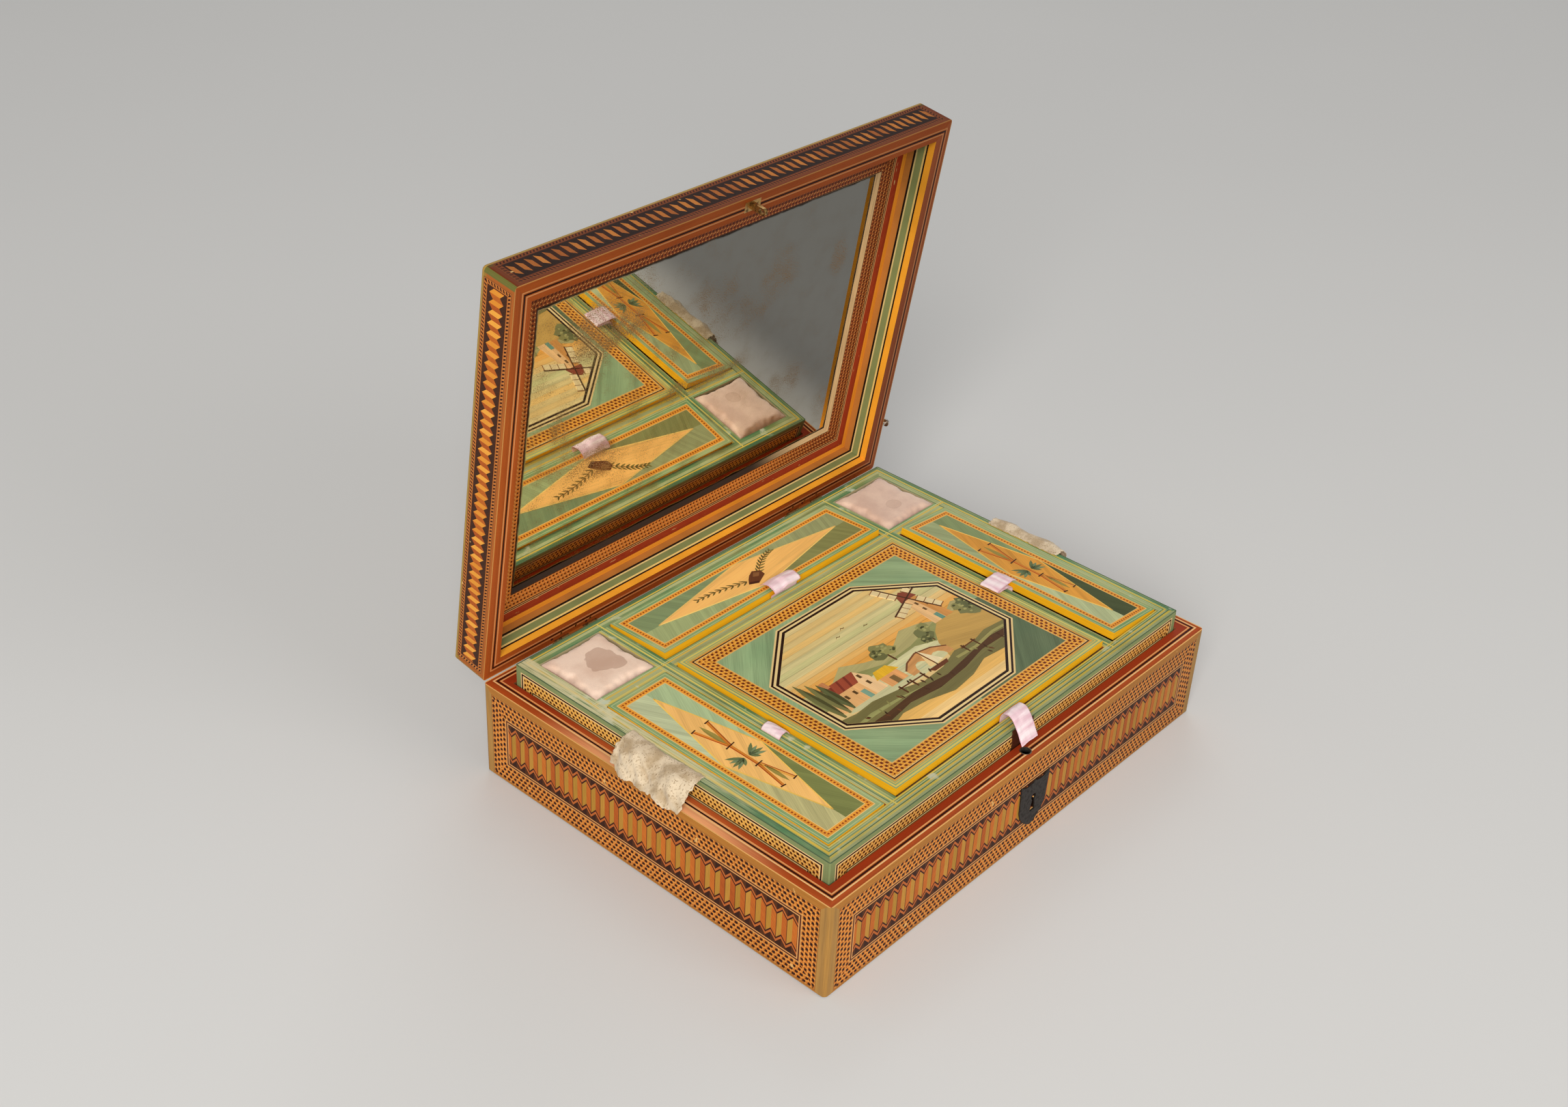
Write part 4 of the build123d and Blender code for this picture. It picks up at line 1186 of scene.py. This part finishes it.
def landscape():
    """A country view in cut straw: sky in bands, a mill, a farm, a river with a bridge."""
    octagon = [
        (-31.5, -59.5), (31.5, -59.5), (73.0, -26.6), (73.0, 26.6),
        (31.5, 59.5), (-31.5, 59.5), (-73.0, 26.6), (-73.0, -26.6),
    ]
    art = Inlay("centre", (0.0, -26.5), drawn_in(octagon, 5.4))
    sky = (
        "E6CE90", "ECC982", "E6CA88", "EBC276", "E0C888", "D8CA90", "CFC88C",
        "DBCB90", "E8C480", "EFBC6C", "F0B15A", "EDA94C", "F0B25A", "EFBB6A",
    )
    for k, tint in enumerate(sky):
        top = 55.0 - 4.3 * k
        art.add(block(-70, top - 4.5, 70, top), tint, 0, 0)
    # Hills
    art.add([
        (-70, -8), (70, -8), (70, 6), (61, 9), (50, 4), (41, 2), (30, 8), (17, 11), (4, 4), (-8, 1), (-20, 5),
        (-33, 12), (-46, 5), (-58, 3), (-70, 8),
    ], "B9AE74", 12, 1)
    art.add([
        (-70, -10), (70, -10), (70, 1), (55, -1), (38, 3), (24, 0), (10, -3), (-12, -4), (-30, 2), (-52, -2),
        (-70, 2),
    ], "98985E", -8, 2)
    # River
    river = [(-26, -6), (12, -5), (30, -12), (20, -22), (-8, -26), (-44, -24), (-60, -20), (-44, -12)]
    art.add(river, "D9D3A0", 0, 3)
    for k, y in enumerate((-11.5, -15.5, -20.0)):
        art.add([(-30 + 5 * k, y), (16 - 3 * k, y), (12, y - 0.7), (-26, y - 0.7)], "BFC69A", 0, 4)
    # Mill on its mound
    mound = [(18, -26), (70, -26), (70, -6), (60, 0), (50, 3.5), (40, 2), (31, -4), (24, -12)]
    art.add(mound, "C9A055", -20, 4)
    art.add([(37.5, 1), (54.0, 1), (51.0, 27), (41.0, 27)], "F0C084", 90, 5)
    art.add([(47.5, 1), (54.0, 1), (51.0, 27), (46.8, 27)], "D9974F", 90, 6)
    art.add([(39.4, 27), (52.4, 27), (50.4, 33), (46.2, 35.5), (41.6, 33)], "8E4630", 90, 7)
    art.add(block(43.8, 1, 47.0, 7.5), "6F9C86", 90, 8)
    for x, y in ((44.0, 13.0), (44.6, 19.5), (49.2, 16.0)):
        art.add(block(x, y, x + 1.5, y + 2.8), "6A4A24", 90, 8)
    for turn in (22, 112, 202, 292):
        c, s = math.cos(math.radians(turn)), math.sin(math.radians(turn))
        for *corners, tint, lie, level in (
            (0, -0.45, 21, 0.45, "4E2C18", turn, 10), (5, 0.6, 20.5, 5.2, "F1D9A2", turn, 9),
            *[(u, 0.6, u + 0.5, 5.4, "8A5A30", turn + 90, 10) for u in (5.0, 10.0, 15.2, 20.2)],
        ):
            sail = [(45.6 + u * c - v * s, 28.6 + u * s + v * c) for u, v in block(*corners)]
            art.add(sail, tint, lie, level)
    # Farm: long house with a red roof, barn with a yellow one
    art.add(block(-62, -18, -36, -4), "F0B878", 90, 5)
    art.add([(-36, -18), (-27, -18), (-27, -4), (-31.5, 4), (-36, -4)], "F4CA94", 90, 5)
    art.add([(-64.5, -4.5), (-36, -4.5), (-31.5, 4.5), (-58, 4.5)], "A14B33", 72, 6)
    for x in (-60, -54, -48, -42):
        art.add([(x, -4.5), (x + 1.6, -4.5), (x + 4.6, 4.5), (x + 3.0, 4.5)], "7E3526", 72, 7)
    art.add(block(-53.5, 3, -50, 9), "D08A58", 90, 8)
    for x, y in ((-58, -11), (-51.5, -11), (-45, -11), (-32.6, -10), (-32.6, -3)):
        art.add(block(x, y, x + 1.8, y + 3.4), "5E4424", 90, 8)
    art.add(block(-41.5, -18, -38.0, -10.5), "7FA38C", 90, 8)
    art.add(block(-26, -20, -12, -10.5), "EDA968", 90, 6)
    art.add([(-28, -11), (-10, -11), (-14, -4.5), (-24, -4.5)], "EDB82C", 80, 7)
    art.add(block(-21, -20, -17, -13.5), "86683A", 90, 8)
    # Bridge of two arches
    deck = [(-10, -17), (-4, -12.5), (6, -9.5), (17, -12), (25, -17), (25, -22), (21.5, -22)]
    deck += [*arch(14.5, -22, 6.0, 6.4), (7.5, -22), *arch(1.0, -22, 5.6, 6.6), (-10, -22)]
    art.add(deck, "D69A5C", 10, 7)
    rail = [(-10, -16.6), (-4, -12.1), (6, -9.1), (17, -11.6), (25, -16.6)]
    for p, q in zip(rail, rail[1:]):
        art.add(strip(*p, *q, 1.0), "7A4A2A", heading(p, q), 8)
    # Boat
    art.add([(2.0, -27.2), (13.6, -27.2), (15.4, -24.4), (0.0, -24.4)], "6B3A20", 0, 9)
    art.add(strip(7.6, -25, 7.6, -8.5, 0.6), "4E2C18", 90, 10)
    art.add([(8.2, -23.6), (14.2, -22.8), (8.2, -9.4)], "F6E2B4", 80, 10)
    art.add([(7.0, -23.6), (2.8, -23.0), (7.0, -12.4)], "EBCB8E", 100, 10)
    # Trees
    for k, (x, tint) in enumerate(((-66.5, "6E6E42"), (-61.5, "7F7C4A"), (-57.0, "646840"))):
        art.add(leaf(x + 2.5, -20 + k, 90, 38 - 5 * k, 5.4), tint, 90, 9)
        art.add(leaf(x + 3.6, -17 + k, 90, 31 - 5 * k, 2.2), "504E2C", 90, 10)
    for k, (x, y, rx, ry, tint) in enumerate((
        (-5, 7, 6.5, 5.0, "8A8752"), (-9, 4, 5.0, 4.6, "6F6E42"), (-1, 3, 5.4, 4.0, "9A9458"),
        (25, -1, 5.5, 5.4, "77784A"), (29, 3.5, 4.4, 4.2, "8F8C56"), (22, -5, 4.0, 3.6, "5F6038"),
        (63, -3, 6.5, 6.4, "7B7A4C"), (60, 2, 4.6, 4.4, "918C54"), (66, 3, 4.6, 5.4, "666840"),
    )):
        art.add(blob(x, y, rx, ry, 40 + k), tint, 30 * k, 6 + k % 3)
        for j in range(5):
            rng = random.Random(900 + 10 * k + j)
            px, py = x + rng.uniform(-0.6, 0.6) * rx, y + rng.uniform(-0.6, 0.6) * ry
            speck = blob(px, py, 1.1, 0.8, 500 + 7 * k + j, 7)
            art.add(speck, "4C4C2A" if j % 2 else "A9A468", 40 * j, 10)
    art.add(strip(-5, -6, -5, 3, 1.2), "5A3A1E", 90, 5)
    art.add(strip(25, -9, 25, -4, 1.0), "5A3A1E", 90, 5)
    # Near bank in dark straw, and a golden path below
    art.add(block(-70, -60, 70, -36), "F3BF68", 0, 3)
    art.add(block(-70, -60, 70, -48), "F6CE88", 0, 4)
    art.add([
        (-70, -46), (-58, -44), (-40, -39), (-22, -41), (-4, -46), (14, -44), (30, -39), (48, -41), (70, -38),
        (70, -24), (52, -22), (38, -25), (24, -23), (8, -28), (-10, -29), (-26, -24), (-44, -21), (-58, -22),
        (-70, -20),
    ], "7C7444", 5, 8)
    art.add([
        (-70, -42), (-52, -39), (-30, -36), (-8, -39), (16, -37), (36, -33), (70, -34), (70, -30), (48, -28),
        (26, -31), (4, -34), (-20, -31), (-46, -33), (-70, -33),
    ], "54371E", -4, 9)
    art.add([
        (-70, -29), (-52, -27), (-30, -29), (-12, -32), (-30, -30.5), (-52, -30), (-70, -31),
    ], "9C9A5E", 3, 10)
    art.add([
        (20, -27), (36, -28), (54, -25.5), (70, -27), (70, -28.5), (54, -27.5), (36, -30), (20, -29),
    ], "A39A5C", 3, 10)
    # Grass and a fence on it
    for k in range(26):
        rng = random.Random(70 + k)
        x, y = rng.uniform(-66, 66), rng.uniform(-39, -24)
        blade = leaf(x, y, 90 + rng.uniform(-28, 28), rng.uniform(2.4, 4.6), 1.1)
        art.add(blade, rng.choice(("4A2E18", "8F8A50", "6A3F22", "3E2A16")), 90, 11)
    for x in (-24, -15, -6, 30, 39):
        art.add(strip(x, -29.5, x + 0.3, -22.5, 1.0), "5A3319", 90, 12)
    art.add(strip(-25.5, -24.3, -4.5, -25.0, 0.8), "6A3D1E", 0, 12)
    art.add(strip(28.5, -24.6, 41.0, -24.2, 0.8), "6A3D1E", 0, 12)
    # Birds
    wings = [(0, 0), (1.6, 1.0), (3.0, 0.2), (4.4, 1.2), (3.0, 0.8), (1.6, 1.6)]
    for x, y in ((-14, 30), (-6, 34), (6, 27)):
        art.add([(x + dx, y + dy) for dx, dy in wings], "6A4A24", 0, 3)
    art.make("centre_lid_landscape")


landscape()


# Stage, light and camera
def floor_paper():
    g = Graph("floor", Roughness=0.85)
    x, y, _ = g.xyz()
    return g.finish(g.shade("DADAD9", g.noise(x * 0.002, y * 0.002) * 0.04 + 0.98))


bpy.ops.mesh.primitive_plane_add(size=40.0, location=(0, 0, -0.0006))
floor = bpy.context.object
floor.name = "floor"
floor.data.materials.append(floor_paper())

scene = bpy.context.scene
scene.world = bpy.data.worlds.new("studio")
scene.world.use_nodes = True
background = scene.world.node_tree.nodes["Background"]
background.inputs["Color"].default_value = (0.95, 0.94, 0.92, 1)
background.inputs["Strength"].default_value = 0.36

for name, spot, aim, size, power, color in (
    ("key", (-2.5, -1.7, 1.92), (0, 0, 0.08), 1.6, 100.0, (1.0, 0.97, 0.93)),
    ("fill", (0.64, -3.04, 1.88), (0, 0, 0.06), 1.92, 23.0, (1.0, 0.98, 0.96)),
    ("rim", (2.52, 2.16, 2.8), (0, 0, 0.1), 1.8, 16.0, (1, 1, 1)),
):
    lamp = assign(bpy.data.lights.new(name, "AREA"), energy=power, size=size, color=color)
    toward = (Vector(aim) - Vector(spot)).to_track_quat("-Z", "Y").to_euler()
    link(name, lamp, location=spot, rotation_euler=toward)

# The camera fitted to the photo: focal length and image width in pixels, then its axes and its place
FOCAL, WIDTH, SENSOR = 2894.31, 2296, 36.0
lens = assign(bpy.data.cameras.new("camera"), sensor_width=SENSOR, lens=FOCAL / WIDTH * SENSOR)
right = Vector((0.66944348, -0.74148477, 0.04523018))
down = Vector((-0.37829430, -0.39267410, -0.83827231))
ahead = Vector((0.63932687, 0.54406561, -0.54337258))
turn = Matrix((right, -down, -ahead)).transposed().to_4x4()
place = Matrix.Translation((-0.7138799, -0.5507780, 0.7069562))
scene.camera = link("camera", lens, matrix_world=place @ turn)
scene.view_settings.view_transform = "Standard"
